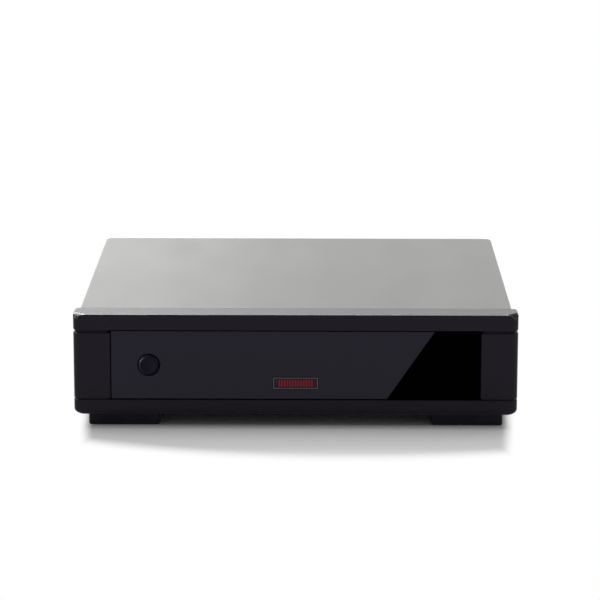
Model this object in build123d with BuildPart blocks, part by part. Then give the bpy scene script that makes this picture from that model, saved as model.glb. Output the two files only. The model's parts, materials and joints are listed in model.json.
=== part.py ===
"""A small phono preamplifier for a record player.

A moulded bezel with two lips and two end cheeks closes the front of a two-part aluminium case. A gloss
window fills the bezel, with a round power button and an indicator in it. The back panel carries four phono
sockets, a power inlet and an earth terminal with a thumb nut. Lengths are millimetres. X runs along the
front, Y runs from the front to the back, Z is up, and the origin is on the floor under the middle of the
whole depth.
"""

from build123d import *
import os

# Outer form of the case
bezel_width = 180.0
body_depth = 158.0
case_height = 42.1
foot_height = 5.5
bezel_depth = 11.4
side_step = 2.2
top_lip_height = 6.8
bottom_lip_height = 6.8
groove_depth = 0.85
front_corner_radius = 3.0
bezel_top_radius = 0.7
bezel_bottom_radius = 2.0
bezel_back_radius = 1.2
seam_gap = 0.3
cover_wall = 2.0
base_floor = 2.5
back_corner_radius = 3.5
cover_edge_radius = 0.6
base_edge_radius = 1.5
fit_gap = 0.2

# Length by which a cutting or joining block runs past the face it meets
overrun = 1.0

# Tongue of the base, which runs forward under the bezel
tongue_setback = 4.0
tongue_inset = 3.6

# Collar of the bezel, which plugs into the case
collar_wall = 1.6
collar_length = 6.0
boss_radius = 3.4
boss_height = 5.5
boss_x = 40.0

# Window and what seats it
cheek_width = 15.0
window_recess = 0.3
window_thickness = 2.5
window_side_gap = 0.35
window_edge_gap = 0.15
gasket_thickness = 0.3
gasket_width = 1.2
ledge_width = 1.5
ledge_thickness = 2.0
cheek_edge_chamfer = 0.3

# Power button and its switch
button_inset = 15.6
button_radius = 4.2
button_proud = 1.6
button_edge_radius = 0.8
button_hole_gap = 0.3
button_flange = 1.1
button_flange_thickness = 1.2
button_flange_gap = 0.2
button_travel = 2.0
button_overtravel = 0.5
plunger_width = 3.6
plunger_fit = 0.05
plunger_engagement = 2.9
plunger_tail = 3.0
plunger_chamfer = 0.2
switch_length = 9.0
switch_width = 8.5
switch_bore_gap = 0.15

# Indicator in the window
indicator_width = 18.2
indicator_height = 4.8
indicator_corner = 0.6
indicator_above_groove = 6.75
indicator_fit = 0.1
indicator_proud = 0.1
indicator_flange = 1.0
indicator_flange_thickness = 0.8
led_radius = 1.5
led_length = 4.0
led_dome = 1.35
led_collar = 0.4
led_collar_thickness = 0.8
led_gap = 0.3
led_step = 5.0
led_spacer_width = 4.4

# Feet
foot_width = 29.0
foot_length = 16.0
foot_inset = 5.6
foot_setback = 6.0
foot_pocket = 0.8
foot_pocket_gap = 0.1
foot_edge_radius = 0.5

# Fasteners of the case
pillar_radius = 3.5
pillar_inset = 8.8
pillar_setback = 31.0
screw_radius = 1.45
screw_head_radius = 2.8
screw_hole_gap = 0.2
screw_pilot_gap = 0.05
screw_grip = 5.0
screw_point = 0.6
screw_slot_width = 0.7
screw_slot_share = 1.2
screw_slot_depth = 0.6
pan_head_radius = 2.6
pan_head_height = 1.8
pan_head_round = 0.7

# Side rails of the base, which hold the cover's walls in line
rail_wall = 1.6
rail_height = 4.0
rail_gap = 1.0

# Back panel
panel_thickness = 1.5
panel_gap = 0.1
panel_margin = 2.0
panel_top_gap = 0.3
back_frame = 8.0
panel_stop_width = 10.0
panel_stop_thickness = 2.0
panel_stop_height = 5.0
panel_stop_x = 70.0

# Phono sockets
socket_height = 8.0
socket_spacing = 14.0
socket_block_width = 28.0
socket_block_depth = 12.0
socket_block_top = 8.0
socket_block_chamfer = 0.5
socket_boss_radius = 5.0
socket_boss_proud = 0.8
socket_hole_gap = 0.2
shell_radius = 4.15
shell_neck_radius = 3.85
shell_neck_length = 2.6
shell_fit = 0.05
shell_wall = 0.65
shell_reach = 8.8
shell_chamfer = 0.25
insert_recess = 0.4
insert_rear_wall = 0.6
contact_bore = 1.62
contact_wall = 0.38
contact_depth = 9.2
contact_recess = 0.3
input_x = 50.0
output_x = -2.0
socket_screw_drop = 5.0
socket_screw_grip = 4.5

# Power inlet
jack_x = -56.0
jack_height = 6.5
jack_width = 9.0
jack_length = 14.0
jack_nose_radius = 4.2
jack_nose_proud = 0.6
jack_hole_gap = 0.2
jack_bore = 2.9
jack_depth = 9.5
jack_pin_radius = 1.05
jack_pin_length = 8.6
jack_pin_round = 0.5
jack_top = 5.6
jack_chamfer = 0.4
leaf_width = 1.6
leaf_thickness = 0.3
leaf_length = 6.0
leaf_slot_depth = 0.7
leaf_slot_gap = 0.2

# Earth terminal
earth_x = 24.0
stud_radius = 2.0
stud_collar_radius = 4.4
stud_collar_thickness = 1.5
stud_hole_gap = 0.1
stud_inner_length = 6.5
stud_end_chamfer = 0.4
stud_free_end = 2.6
washer_radius = 4.3
washer_thickness = 0.8
thumb_nut_radius = 4.6
thumb_nut_length = 5.0
thumb_nut_bore_gap = 0.05
thumb_nut_gap = 0.05
thumb_nut_chamfer = 0.5
knurl_count = 28
knurl_radius = 0.28
lock_nut_flats = 7.0
lock_nut_thickness = 2.4
tag_radius = 3.6
tag_thickness = 0.6
tag_width = 3.0
tag_length = 6.5
lead_radius = 0.6
lead_reach = 9.0
lead_bend = 3.0

# Circuit boards
board_thickness = 1.6
board_side_gap = 1.0
board_back_gap = 0.5
board_corner_radius = 2.0
front_board_left = -68.0
front_board_right = 9.0
front_board_clearance = 1.0
standoff_radius = 3.0
standoff_inset = 8.0
standoff_front = 15.0
standoff_back = 30.0
header_width = 12.0
header_size = 2.5
header_x = -30.0

# Parts on the main board
smoothing_radius = 6.5
smoothing_height = 22.0
signal_cap_radius = 3.15
signal_cap_height = 11.0
crimp_height = 2.2
crimp_radius = 0.35
vent_width = 0.5
vent_share = 1.2
vent_depth = 0.2
film_width = 7.2
film_depth = 3.6
film_height = 7.5
film_edge_radius = 0.5
resistor_radius = 1.2
resistor_length = 6.3
diode_radius = 1.35
diode_length = 5.2
wire_radius = 0.3
wire_reach = 1.6
wire_bend = 0.7
axial_lift = 0.3
transistor_radius = 2.3
transistor_flat = 1.2
transistor_height = 4.8
transistor_lift = 2.5
leg_width = 0.5
leg_pitch = 1.27
chip_length = 9.6
chip_width = 6.4
chip_height = 3.3
chip_lift = 0.6
chip_pitch = 2.54
chip_pins = 4
chip_notch = 0.9
chip_leg_reach = 0.6
chip_leg_thickness = 0.3
regulator_width = 10.0
regulator_depth = 4.4
regulator_height = 9.2
regulator_lift = 4.0
regulator_pitch = 2.54
tab_thickness = 1.3
tab_height = 15.6
tab_hole_gap = 0.2
tab_screw_drop = 2.9
tab_screw_length = 2.6
sink_width = 17.0
sink_height = 24.0
sink_base = 3.0
sink_depth = 9.0
sink_fins = 6
sink_fin_thickness = 1.0

# Places on the main board, as shares of its half width and half length
channel_centres = (0.19, 0.67)
smoothing_places = ((-0.78, 0.35), (-0.56, 0.35), (-0.78, 0.12), (-0.56, 0.12))
diode_places = ((-0.54, 0.75), (-0.46, 0.75), (-0.38, 0.75), (-0.3, 0.75))
regulator_places = ((-0.74, -0.235), (-0.42, -0.235))

# Places in one channel: millimetres across from its centre, and shares of the board's half length
signal_cap_steps = ((-9.0, 0.72), (9.0, 0.72), (-6.0, -0.73), (6.0, -0.73))
film_steps = ((-10.0, 0.37), (0.0, 0.37), (10.0, 0.37), (-7.0, -0.1), (7.0, -0.1))
transistor_steps = ((-9.0, 0.56), (-3.0, 0.56), (3.0, 0.56), (9.0, 0.56))
chip_row = 0.13
resistor_columns = 6
resistor_column_pitch = 4.6
resistor_rows = (-0.31, -0.53)

# Levels and planes that the pieces share
base_z = foot_height
top_z = base_z + case_height
lower_groove_z = base_z + bottom_lip_height
upper_groove_z = top_z - top_lip_height
middle_z = (lower_groove_z + upper_groove_z) / 2
base_wall = cover_wall + fit_gap
case_half = bezel_width / 2 - side_step
floor_top_z = base_z + base_floor
ceiling_z = top_z - cover_wall

nut_start = stud_collar_thickness + washer_thickness + 2 * thumb_nut_gap
stud_reach = nut_start + thumb_nut_length + stud_free_end
front_reach = button_proud - window_recess
back_reach = stud_reach - base_wall - panel_gap
overall_depth = front_reach + body_depth + back_reach
front_y = -overall_depth / 2 + front_reach
bezel_back_y = front_y + bezel_depth
seam_y = bezel_back_y + seam_gap
rear_y = front_y + body_depth
panel_y = rear_y - base_wall - panel_gap
panel_inner_y = panel_y - panel_thickness

window_half = bezel_width / 2 - cheek_width
window_face_y = front_y + window_recess
window_back_y = window_face_y + window_thickness
ledge_y = window_back_y + gasket_thickness
bezel_wall_y = ledge_y + ledge_thickness
button_x = -window_half + button_inset
indicator_z = lower_groove_z + indicator_above_groove

button_face_y = window_face_y - button_proud
flange_y = window_back_y + button_flange_gap
button_back_y = flange_y + button_flange_thickness
switch_y = button_back_y + button_travel + button_overtravel
front_board_y = switch_y + switch_length
main_board_y = front_board_y + board_thickness

board_top_z = middle_z - socket_height
board_low_z = board_top_z - board_thickness
pillar_x = case_half - pillar_inset
board_half = pillar_x - pillar_radius - board_side_gap
board_back_y = panel_inner_y - board_back_gap
board_middle_y = (main_board_y + board_back_y) / 2
board_half_length = (board_back_y - main_board_y) / 2
jack_z = board_top_z + jack_height

collar_half = case_half - base_wall - fit_gap
collar_low_z = floor_top_z + fit_gap
collar_top_z = ceiling_z - fit_gap
collar_end_y = bezel_back_y + collar_length
tongue_y = front_y + tongue_setback
tongue_half = bezel_width / 2 - tongue_inset
foot_x = bezel_width / 2 - foot_inset - foot_width / 2
foot_rows = (front_y + foot_setback + foot_length / 2, rear_y - foot_setback - foot_length / 2)
pillar_rows = (front_y + pillar_setback, rear_y - pillar_setback)
pillar_places = [(x, y) for x in (-pillar_x, pillar_x) for y in pillar_rows]
boss_places = [(-boss_x, collar_end_y), (boss_x, collar_end_y)]
standoff_x = board_half - standoff_inset
standoff_rows = (main_board_y + standoff_front, board_back_y - standoff_back)
standoff_places = [(x, y) for x in (-standoff_x, standoff_x) for y in standoff_rows]
screw_tip_z = floor_top_z + screw_grip
input_pair = (input_x - socket_spacing / 2, input_x + socket_spacing / 2)
output_pair = (output_x - socket_spacing / 2, output_x + socket_spacing / 2)
socket_screw_z = middle_z - socket_screw_drop
neck_back_y = panel_y + socket_boss_proud - shell_neck_length
lowest = (Align.CENTER, Align.CENTER, Align.MIN)


def at_depth(y):
    """A sketch plane across the case at depth y, on which a negative extrude goes back."""
    return Plane.XZ.offset(-y)


def box_between(low, high, mode=Mode.ADD):
    """A box given by its lowest and highest corners."""
    size = [b - a for a, b in zip(low, high)]
    middle = tuple((a + b) / 2 for a, b in zip(low, high))
    with Locations(middle):
        Box(*size, mode=mode)


def turn_upright(x, y, points, mode=Mode.ADD):
    """A turned shape on an upright axis at (x, y), from points of radius and height."""
    with BuildSketch(Plane(origin=(x, y, 0), x_dir=(1, 0, 0), z_dir=(0, -1, 0))) as profile:
        Polygon(*points, align=None)
    revolve(profile.sketch, axis=Axis((x, y, 0), (0, 0, 1)), mode=mode)


def turn_along(x, z, points, mode=Mode.ADD):
    """A turned shape on an axis that runs front to back at (x, z), from points of depth and radius."""
    with BuildSketch(Plane(origin=(x, 0, z), x_dir=(0, 1, 0), z_dir=(1, 0, 0))) as profile:
        Polygon(*points, align=None)
    revolve(profile.sketch, axis=Axis((x, 0, z), (0, 1, 0)), mode=mode)


def tube_along(x, z, start, end, outer, inner, mode=Mode.ADD):
    """A plain tube from depth start to depth end, or a rod where the inner radius is zero."""
    turn_along(x, z, [(start, inner), (end, inner), (end, outer), (start, outer)], mode)


def case_screws(places):
    """Countersunk screws that rise through the floor of the base at the places."""
    shoulder_z = base_z + screw_head_radius - screw_radius
    for x, y in places:
        turn_upright(x, y, [
            (0, base_z),
            (screw_head_radius, base_z),
            (screw_radius, shoulder_z),
            (screw_radius, screw_tip_z - screw_point),
            (screw_radius - screw_point, screw_tip_z),
            (0, screw_tip_z),
        ])
        with Locations((x, y, base_z)):
            cross_slot(screw_head_radius)


def cross_slot(head_radius):
    """The crossed slots in a screw head, cut upwards from the present place."""
    length = screw_slot_share * head_radius
    for size in ((length, screw_slot_width), (screw_slot_width, length)):
        Box(*size, screw_slot_depth, align=lowest, mode=Mode.SUBTRACT)


def save(part, name):
    """Names a finished piece and writes it to its own file."""
    part.label = name
    export_step(part, f"parts/{name}.step")


os.makedirs("parts", exist_ok=True)


# Front bezel: two lips and two cheeks round the window, with a collar that plugs into the case
with BuildPart() as front_bezel:
    with BuildSketch(Plane.XY.offset(base_z)):
        with Locations((0, front_y + bezel_depth / 2)):
            outline = Rectangle(bezel_width, bezel_depth)
        fillet(outline.vertices().group_by(Axis.Y)[0], front_corner_radius)
    extrude(amount=case_height)
    rims = front_bezel.edges().filter_by(Axis.Z, reverse=True)
    rims = rims.filter_by(lambda e: e.center().Y < bezel_back_y - bezel_top_radius)
    fillet(rims.group_by(Axis.Z)[-1], bezel_top_radius)
    fillet(rims.group_by(Axis.Z)[0], bezel_bottom_radius)
    back_corners = front_bezel.edges().filter_by(Axis.Z).group_by(Axis.Y)[-1]
    fillet(back_corners, bezel_back_radius)
    box_between(
        (-collar_half, bezel_back_y, collar_low_z),
        (collar_half, collar_end_y, collar_top_z),
    )
    for groove_z in (lower_groove_z, upper_groove_z):
        with BuildLine(Plane.XY.offset(groove_z)) as groove_path:
            FilletPolyline(
                (-bezel_width / 2, bezel_back_y + groove_depth),
                (-bezel_width / 2, front_y),
                (bezel_width / 2, front_y),
                (bezel_width / 2, bezel_back_y + groove_depth),
                radius=front_corner_radius,
            )
        with BuildSketch(at_depth(bezel_back_y + groove_depth)):
            with Locations((-bezel_width / 2, groove_z)):
                Polygon(
                    (-groove_depth, -2 * groove_depth),
                    (groove_depth, 0),
                    (-groove_depth, 2 * groove_depth),
                    align=None,
                )
        sweep(path=groove_path.line, mode=Mode.SUBTRACT)
    box_between(
        (-window_half, front_y - overrun, lower_groove_z),
        (window_half, ledge_y, upper_groove_z),
        Mode.SUBTRACT,
    )
    box_between(
        (-window_half + ledge_width, front_y, lower_groove_z + ledge_width),
        (window_half - ledge_width, bezel_wall_y + overrun, upper_groove_z - ledge_width),
        Mode.SUBTRACT,
    )
    box_between(
        (-collar_half + collar_wall, bezel_wall_y, collar_low_z + collar_wall),
        (collar_half - collar_wall, collar_end_y + overrun, collar_top_z - collar_wall),
        Mode.SUBTRACT,
    )
    box_between(
        (-tongue_half - fit_gap, tongue_y - fit_gap, base_z - overrun),
        (tongue_half + fit_gap, bezel_back_y + overrun, floor_top_z + fit_gap),
        Mode.SUBTRACT,
    )
    cheek_edges = front_bezel.edges().filter_by(Axis.Z).filter_by(
        lambda e: abs(e.center().Y - front_y) < groove_depth and abs(e.center().X) < window_half + overrun
    )
    chamfer(cheek_edges, cheek_edge_chamfer)
    for x, y in boss_places:
        with Locations((x, y, floor_top_z)):
            Cylinder(boss_radius, boss_height, align=lowest)
            Cylinder(
                screw_radius + screw_pilot_gap,
                screw_grip + screw_pilot_gap,
                align=lowest,
                mode=Mode.SUBTRACT,
            )
save(front_bezel.part, "front_bezel")

# Window: one gloss panel with a round hole for the button and a long one for the indicator
with BuildPart() as front_window:
    with BuildSketch(at_depth(window_face_y)):
        with Locations((0, middle_z)):
            Rectangle(
                2 * (window_half - window_side_gap),
                upper_groove_z - lower_groove_z - 2 * window_edge_gap,
            )
        with Locations((button_x, middle_z)):
            Circle(button_radius + button_hole_gap, mode=Mode.SUBTRACT)
        with Locations((0, indicator_z)):
            RectangleRounded(
                indicator_width + 2 * indicator_fit,
                indicator_height + 2 * indicator_fit,
                indicator_corner + indicator_fit,
                mode=Mode.SUBTRACT,
            )
    extrude(amount=-window_thickness)
save(front_window.part, "front_window")

# Gasket: a thin ring between the window and the ledge of the bezel
with BuildPart() as window_gasket:
    with BuildSketch(at_depth(window_back_y)):
        with Locations((0, middle_z)):
            outer = (
                2 * (window_half - window_side_gap),
                upper_groove_z - lower_groove_z - 2 * window_edge_gap,
            )
            Rectangle(*outer)
            Rectangle(*(size - 2 * gasket_width for size in outer), mode=Mode.SUBTRACT)
    extrude(amount=-gasket_thickness)
save(window_gasket.part, "window_gasket")

# Indicator lens, with a flange behind the window
with BuildPart() as indicator_lens:
    with BuildSketch(at_depth(window_face_y - indicator_proud)):
        with Locations((0, indicator_z)):
            RectangleRounded(indicator_width, indicator_height, indicator_corner)
    extrude(amount=-(window_thickness + indicator_proud))
    lens_rim = indicator_lens.edges().group_by(Axis.Y)[0]
    fillet(lens_rim, indicator_proud)
    with BuildSketch(at_depth(window_back_y)):
        with Locations((0, indicator_z)):
            RectangleRounded(
                indicator_width + 2 * indicator_flange,
                indicator_height + 2 * indicator_flange,
                indicator_corner + indicator_flange,
            )
    extrude(amount=-indicator_flange_thickness)
save(indicator_lens.part, "indicator_lens")

# Power button: a round cap with a rounded edge and a flange that stops it behind the window
with BuildPart() as power_button:
    tube_along(button_x, middle_z, button_face_y, button_back_y, button_radius, 0)
    fillet(power_button.edges().group_by(Axis.Y)[0], button_edge_radius)
    tube_along(
        button_x, middle_z, flange_y, button_back_y, button_radius + button_flange, 0
    )
    socket_half = plunger_width / 2 + plunger_fit
    box_between(
        (button_x - socket_half, button_back_y - plunger_engagement - plunger_fit, middle_z - socket_half),
        (button_x + socket_half, button_back_y + overrun, middle_z + socket_half),
        Mode.SUBTRACT,
    )
save(power_button.part, "power_button")

# Plunger: the square rod that the button pushes into the switch
with BuildPart() as switch_plunger:
    half = plunger_width / 2
    box_between(
        (button_x - half, button_back_y - plunger_engagement, middle_z - half),
        (button_x + half, switch_y + plunger_tail, middle_z + half),
    )
    chamfer(switch_plunger.edges().group_by(Axis.Y)[-1], plunger_chamfer)
save(switch_plunger.part, "switch_plunger")

# Power switch: a moulded block on the front board
with BuildPart() as power_switch:
    half = switch_width / 2
    box_between(
        (button_x - half, switch_y, middle_z - half),
        (button_x + half, front_board_y, middle_z + half),
    )
    chamfer(power_switch.edges().group_by(Axis.Y)[0], socket_block_chamfer)
    half = plunger_width / 2 + switch_bore_gap
    box_between(
        (button_x - half, switch_y - overrun, middle_z - half),
        (
            button_x + half,
            switch_y + plunger_tail + button_travel + button_overtravel,
            middle_z + half,
        ),
        Mode.SUBTRACT,
    )
save(power_switch.part, "power_switch")

# Top cover: the roof, both sides and the frame of the back, with four screw pillars
with BuildPart() as top_cover:
    with BuildSketch(Plane.XY.offset(lower_groove_z)):
        with Locations((0, (seam_y + rear_y) / 2)):
            outline = Rectangle(2 * case_half, rear_y - seam_y)
        fillet(outline.vertices().group_by(Axis.Y)[-1], back_corner_radius)
    extrude(amount=top_z - lower_groove_z)
    roof_rims = top_cover.edges().group_by(Axis.Z)[-1].filter_by(
        lambda e: e.center().Y > seam_y + cover_edge_radius
    )
    fillet(roof_rims, cover_edge_radius)
    with BuildSketch(Plane.XY.offset(lower_groove_z)):
        with Locations((0, (seam_y + rear_y) / 2 - cover_wall)):
            hollow = Rectangle(2 * (case_half - cover_wall), rear_y - seam_y)
        fillet(hollow.vertices().group_by(Axis.Y)[-1], back_corner_radius - cover_wall)
    extrude(amount=ceiling_z - lower_groove_z, mode=Mode.SUBTRACT)
    box_between(
        (-case_half + back_frame, rear_y - 2 * cover_wall, lower_groove_z - overrun),
        (case_half - back_frame, rear_y + overrun, ceiling_z - panel_margin),
        Mode.SUBTRACT,
    )
    for x, y in pillar_places:
        with Locations((x, y, floor_top_z)):
            Cylinder(pillar_radius, ceiling_z - floor_top_z, align=lowest)
            Cylinder(
                screw_radius + screw_pilot_gap,
                screw_grip + screw_pilot_gap,
                align=lowest,
                mode=Mode.SUBTRACT,
            )
save(top_cover.part, "top_cover")

# Base tray: the floor, its low walls, a tongue under the bezel, side rails and stops for the back panel
with BuildPart() as base_tray:
    with BuildSketch(Plane.XY.offset(base_z)):
        with Locations((0, (seam_y + rear_y) / 2)):
            outline = Rectangle(2 * case_half, rear_y - seam_y)
        fillet(outline.vertices().group_by(Axis.Y)[-1], back_corner_radius)
    extrude(amount=bottom_lip_height)
    floor_rims = base_tray.edges().group_by(Axis.Z)[0].filter_by(
        lambda e: e.center().Y > seam_y + base_edge_radius
    )
    fillet(floor_rims, base_edge_radius)
    with BuildSketch(Plane.XY.offset(floor_top_z)):
        with Locations((0, (seam_y + rear_y) / 2 - base_wall)):
            hollow = Rectangle(2 * (case_half - base_wall), rear_y - seam_y)
        fillet(hollow.vertices().group_by(Axis.Y)[-1], back_corner_radius - base_wall)
    extrude(amount=bottom_lip_height, mode=Mode.SUBTRACT)
    box_between((-tongue_half, tongue_y, base_z), (tongue_half, seam_y + overrun, floor_top_z))
    for side in (-1, 1):
        rail_x = side * (case_half - base_wall - rail_wall / 2)
        with Locations((rail_x, (collar_end_y + panel_inner_y) / 2, floor_top_z)):
            Box(
                rail_wall,
                panel_inner_y - collar_end_y - 2 * rail_gap,
                lower_groove_z + rail_height - floor_top_z,
                align=lowest,
            )
        with Locations(
            (side * panel_stop_x, panel_inner_y - panel_gap - panel_stop_thickness / 2, floor_top_z)
        ):
            Box(panel_stop_width, panel_stop_thickness, panel_stop_height, align=lowest)
    for x in (-foot_x, foot_x):
        for y in foot_rows:
            with Locations((x, y, base_z)):
                Box(
                    foot_width + 2 * foot_pocket_gap,
                    foot_length + 2 * foot_pocket_gap,
                    2 * foot_pocket,
                    mode=Mode.SUBTRACT,
                )
    underside = [
        Plane(origin=(x, y, base_z), x_dir=(1, 0, 0), z_dir=(0, 0, -1))
        for x, y in pillar_places + boss_places
    ]
    with Locations(*underside):
        CounterSinkHole(
            screw_radius + screw_hole_gap,
            screw_head_radius + screw_hole_gap,
            depth=base_floor,
            counter_sink_angle=90,
        )
save(base_tray.part, "base_tray")

# Feet: four soft pads set into pockets of the base
for side, x in (("left", -foot_x), ("right", foot_x)):
    for end, y in zip(("front", "rear"), foot_rows):
        with BuildPart() as foot:
            with Locations((x, y, 0)):
                Box(foot_width, foot_length, foot_height + foot_pocket, align=lowest)
            fillet(foot.edges().group_by(Axis.Z)[0], foot_edge_radius)
        save(foot.part, f"foot_{end}_{side}")

# Screws that hold the cover to the base
with BuildPart() as cover_screws:
    case_screws(pillar_places)
save(cover_screws.part, "cover_screws")

# Screws that hold the bezel to the base
with BuildPart() as bezel_screws:
    case_screws(boss_places)
save(bezel_screws.part, "bezel_screws")


def panel_hole(x, z, radius):
    """A round hole through the back panel at (x, z)."""
    tube_along(x, z, panel_inner_y - overrun, panel_y + overrun, radius, 0, Mode.SUBTRACT)


# Back panel, with a hole for every connector
with BuildPart() as rear_panel:
    box_between(
        (-case_half + base_wall + panel_margin, panel_inner_y, floor_top_z),
        (case_half - base_wall - panel_margin, panel_y, ceiling_z - panel_top_gap),
    )
    for x in input_pair + output_pair:
        panel_hole(x, middle_z, socket_boss_radius + socket_hole_gap)
    for x in (input_x, output_x):
        panel_hole(x, socket_screw_z, screw_radius + screw_hole_gap)
    panel_hole(jack_x, jack_z, jack_nose_radius + jack_hole_gap)
    panel_hole(earth_x, middle_z, stud_radius + stud_hole_gap)
save(rear_panel.part, "rear_panel")


# Socket blocks: one moulding behind the panel for each pair of phono sockets
for name, middle_x, pair in (("input", input_x, input_pair), ("output", output_x, output_pair)):
    with BuildPart() as socket_block:
        box_between(
            (middle_x - socket_block_width / 2, panel_inner_y - socket_block_depth, board_top_z),
            (middle_x + socket_block_width / 2, panel_inner_y, middle_z + socket_block_top),
        )
        chamfer(socket_block.edges().group_by(Axis.Y)[0], socket_block_chamfer)
        for x in pair:
            tube_along(
                x, middle_z, panel_inner_y - overrun, panel_y + socket_boss_proud, socket_boss_radius, 0
            )
            tube_along(
                x,
                middle_z,
                neck_back_y,
                panel_y + socket_boss_proud + overrun,
                shell_neck_radius + shell_fit,
                0,
                Mode.SUBTRACT,
            )
        tube_along(
            middle_x,
            socket_screw_z,
            panel_inner_y - socket_screw_grip - screw_pilot_gap,
            panel_inner_y + overrun,
            screw_radius + screw_pilot_gap,
            0,
            Mode.SUBTRACT,
        )
    save(socket_block.part, f"{name}_socket_block")

    # Shells: the outer sleeves of the sockets
    for side, x in zip(("right", "left"), pair):
        with BuildPart() as shell:
            inner = shell_radius - shell_wall
            start = neck_back_y + shell_fit
            shoulder = panel_y + socket_boss_proud
            end = panel_y + shell_reach
            turn_along(x, middle_z, [
                (start, inner),
                (end, inner),
                (end, shell_radius - shell_chamfer),
                (end - shell_chamfer, shell_radius),
                (shoulder, shell_radius),
                (shoulder, shell_neck_radius),
                (start, shell_neck_radius),
            ])
        save(shell.part, f"{name}_{side}_shell")

# Inserts: the coloured insulators inside the shells, one colour for each side
for side, columns in (("right", (input_pair[0], output_pair[0])), ("left", (input_pair[1], output_pair[1]))):
    with BuildPart() as inserts:
        outer = shell_radius - shell_wall - shell_fit
        inner = contact_bore + contact_wall + shell_fit
        start = neck_back_y + shell_fit
        end = panel_y + shell_reach - insert_recess
        for x in columns:
            turn_along(x, middle_z, [
                (start, 0),
                (start + insert_rear_wall, 0),
                (start + insert_rear_wall, inner),
                (end, inner),
                (end, outer),
                (start, outer),
            ])
    save(inserts.part, f"{side}_socket_inserts")

# Centre contacts of the sockets
for name, pair in (("input", input_pair), ("output", output_pair)):
    with BuildPart() as contacts:
        end = panel_y + shell_reach - insert_recess - contact_recess
        for x in pair:
            tube_along(x, middle_z, end - contact_depth, end, contact_bore + contact_wall, contact_bore)
    save(contacts.part, f"{name}_socket_contacts")

# Screws that hold the socket blocks to the panel
with BuildPart() as socket_screws:
    for x in (input_x, output_x):
        tip = panel_inner_y - socket_screw_grip
        turn_along(x, socket_screw_z, [
            (tip, 0),
            (panel_y + pan_head_height, 0),
            (panel_y + pan_head_height, pan_head_radius - pan_head_round),
            (panel_y + pan_head_height - pan_head_round, pan_head_radius),
            (panel_y, pan_head_radius),
            (panel_y, screw_radius),
            (tip + screw_point, screw_radius),
            (tip, screw_radius - screw_point),
        ])
        with Locations(Plane(
            origin=(x, panel_y + pan_head_height, socket_screw_z), x_dir=(1, 0, 0), z_dir=(0, -1, 0)
        )):
            cross_slot(pan_head_radius)
save(socket_screws.part, "socket_screws")

# Power inlet: a block on the main board with a round nose through the panel
with BuildPart() as power_jack_body:
    box_between(
        (jack_x - jack_width / 2, panel_inner_y - jack_length, board_top_z),
        (jack_x + jack_width / 2, panel_inner_y, jack_z + jack_top),
    )
    chamfer(power_jack_body.edges().group_by(Axis.Y)[0], jack_chamfer)
    nose_end = panel_y + jack_nose_proud
    tube_along(jack_x, jack_z, panel_inner_y - overrun, nose_end, jack_nose_radius, 0)
    tube_along(jack_x, jack_z, nose_end - jack_depth, nose_end + overrun, jack_bore, 0, Mode.SUBTRACT)
    leaf_x = jack_x + jack_bore
    box_between(
        (jack_x, nose_end - jack_depth, jack_z - leaf_width / 2 - leaf_slot_gap),
        (leaf_x + leaf_slot_depth, panel_inner_y - overrun, jack_z + leaf_width / 2 + leaf_slot_gap),
        Mode.SUBTRACT,
    )
save(power_jack_body.part, "power_jack_body")

# Pin of the power inlet
with BuildPart() as power_jack_pin:
    start = nose_end - jack_depth
    turn_along(jack_x, jack_z, [
        (start, 0),
        (start + jack_pin_length, 0),
        (start + jack_pin_length, jack_pin_radius - jack_pin_round),
        (start + jack_pin_length - jack_pin_round, jack_pin_radius),
        (start, jack_pin_radius),
    ])
save(power_jack_pin.part, "power_jack_pin")

# Leaf contact of the power inlet
with BuildPart() as power_jack_contact:
    leaf_back_x = leaf_x + leaf_slot_depth
    box_between(
        (leaf_back_x - leaf_thickness, start, jack_z - leaf_width / 2),
        (leaf_back_x, start + leaf_length, jack_z + leaf_width / 2),
    )
save(power_jack_contact.part, "power_jack_contact")

# Earth stud, with a collar outside the panel
with BuildPart() as earth_stud:
    start = panel_inner_y - stud_inner_length
    collar_end = panel_y + stud_collar_thickness
    end = panel_y + stud_reach
    turn_along(earth_x, middle_z, [
        (start, 0),
        (end, 0),
        (end, stud_radius - stud_end_chamfer),
        (end - stud_end_chamfer, stud_radius),
        (collar_end, stud_radius),
        (collar_end, stud_collar_radius),
        (panel_y, stud_collar_radius),
        (panel_y, stud_radius),
        (start + stud_end_chamfer, stud_radius),
        (start, stud_radius - stud_end_chamfer),
    ])
save(earth_stud.part, "earth_stud")

# Washer under the thumb nut
with BuildPart() as earth_washer:
    start = panel_y + stud_collar_thickness + thumb_nut_gap
    tube_along(
        earth_x,
        middle_z,
        start,
        start + washer_thickness,
        washer_radius,
        stud_radius + thumb_nut_bore_gap,
    )
save(earth_washer.part, "earth_washer")

# Thumb nut, knurled all round
with BuildPart() as earth_thumb_nut:
    start = panel_y + nut_start
    end = start + thumb_nut_length
    bore = stud_radius + thumb_nut_bore_gap
    turn_along(earth_x, middle_z, [
        (start, bore),
        (end, bore),
        (end, thumb_nut_radius - thumb_nut_chamfer),
        (end - thumb_nut_chamfer, thumb_nut_radius),
        (start + thumb_nut_chamfer, thumb_nut_radius),
        (start, thumb_nut_radius - thumb_nut_chamfer),
    ])
    with BuildSketch(at_depth(start)):
        with Locations((earth_x, middle_z)):
            with PolarLocations(thumb_nut_radius, knurl_count):
                Circle(knurl_radius)
    extrude(amount=-thumb_nut_length, mode=Mode.SUBTRACT)
save(earth_thumb_nut.part, "earth_thumb_nut")

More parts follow.
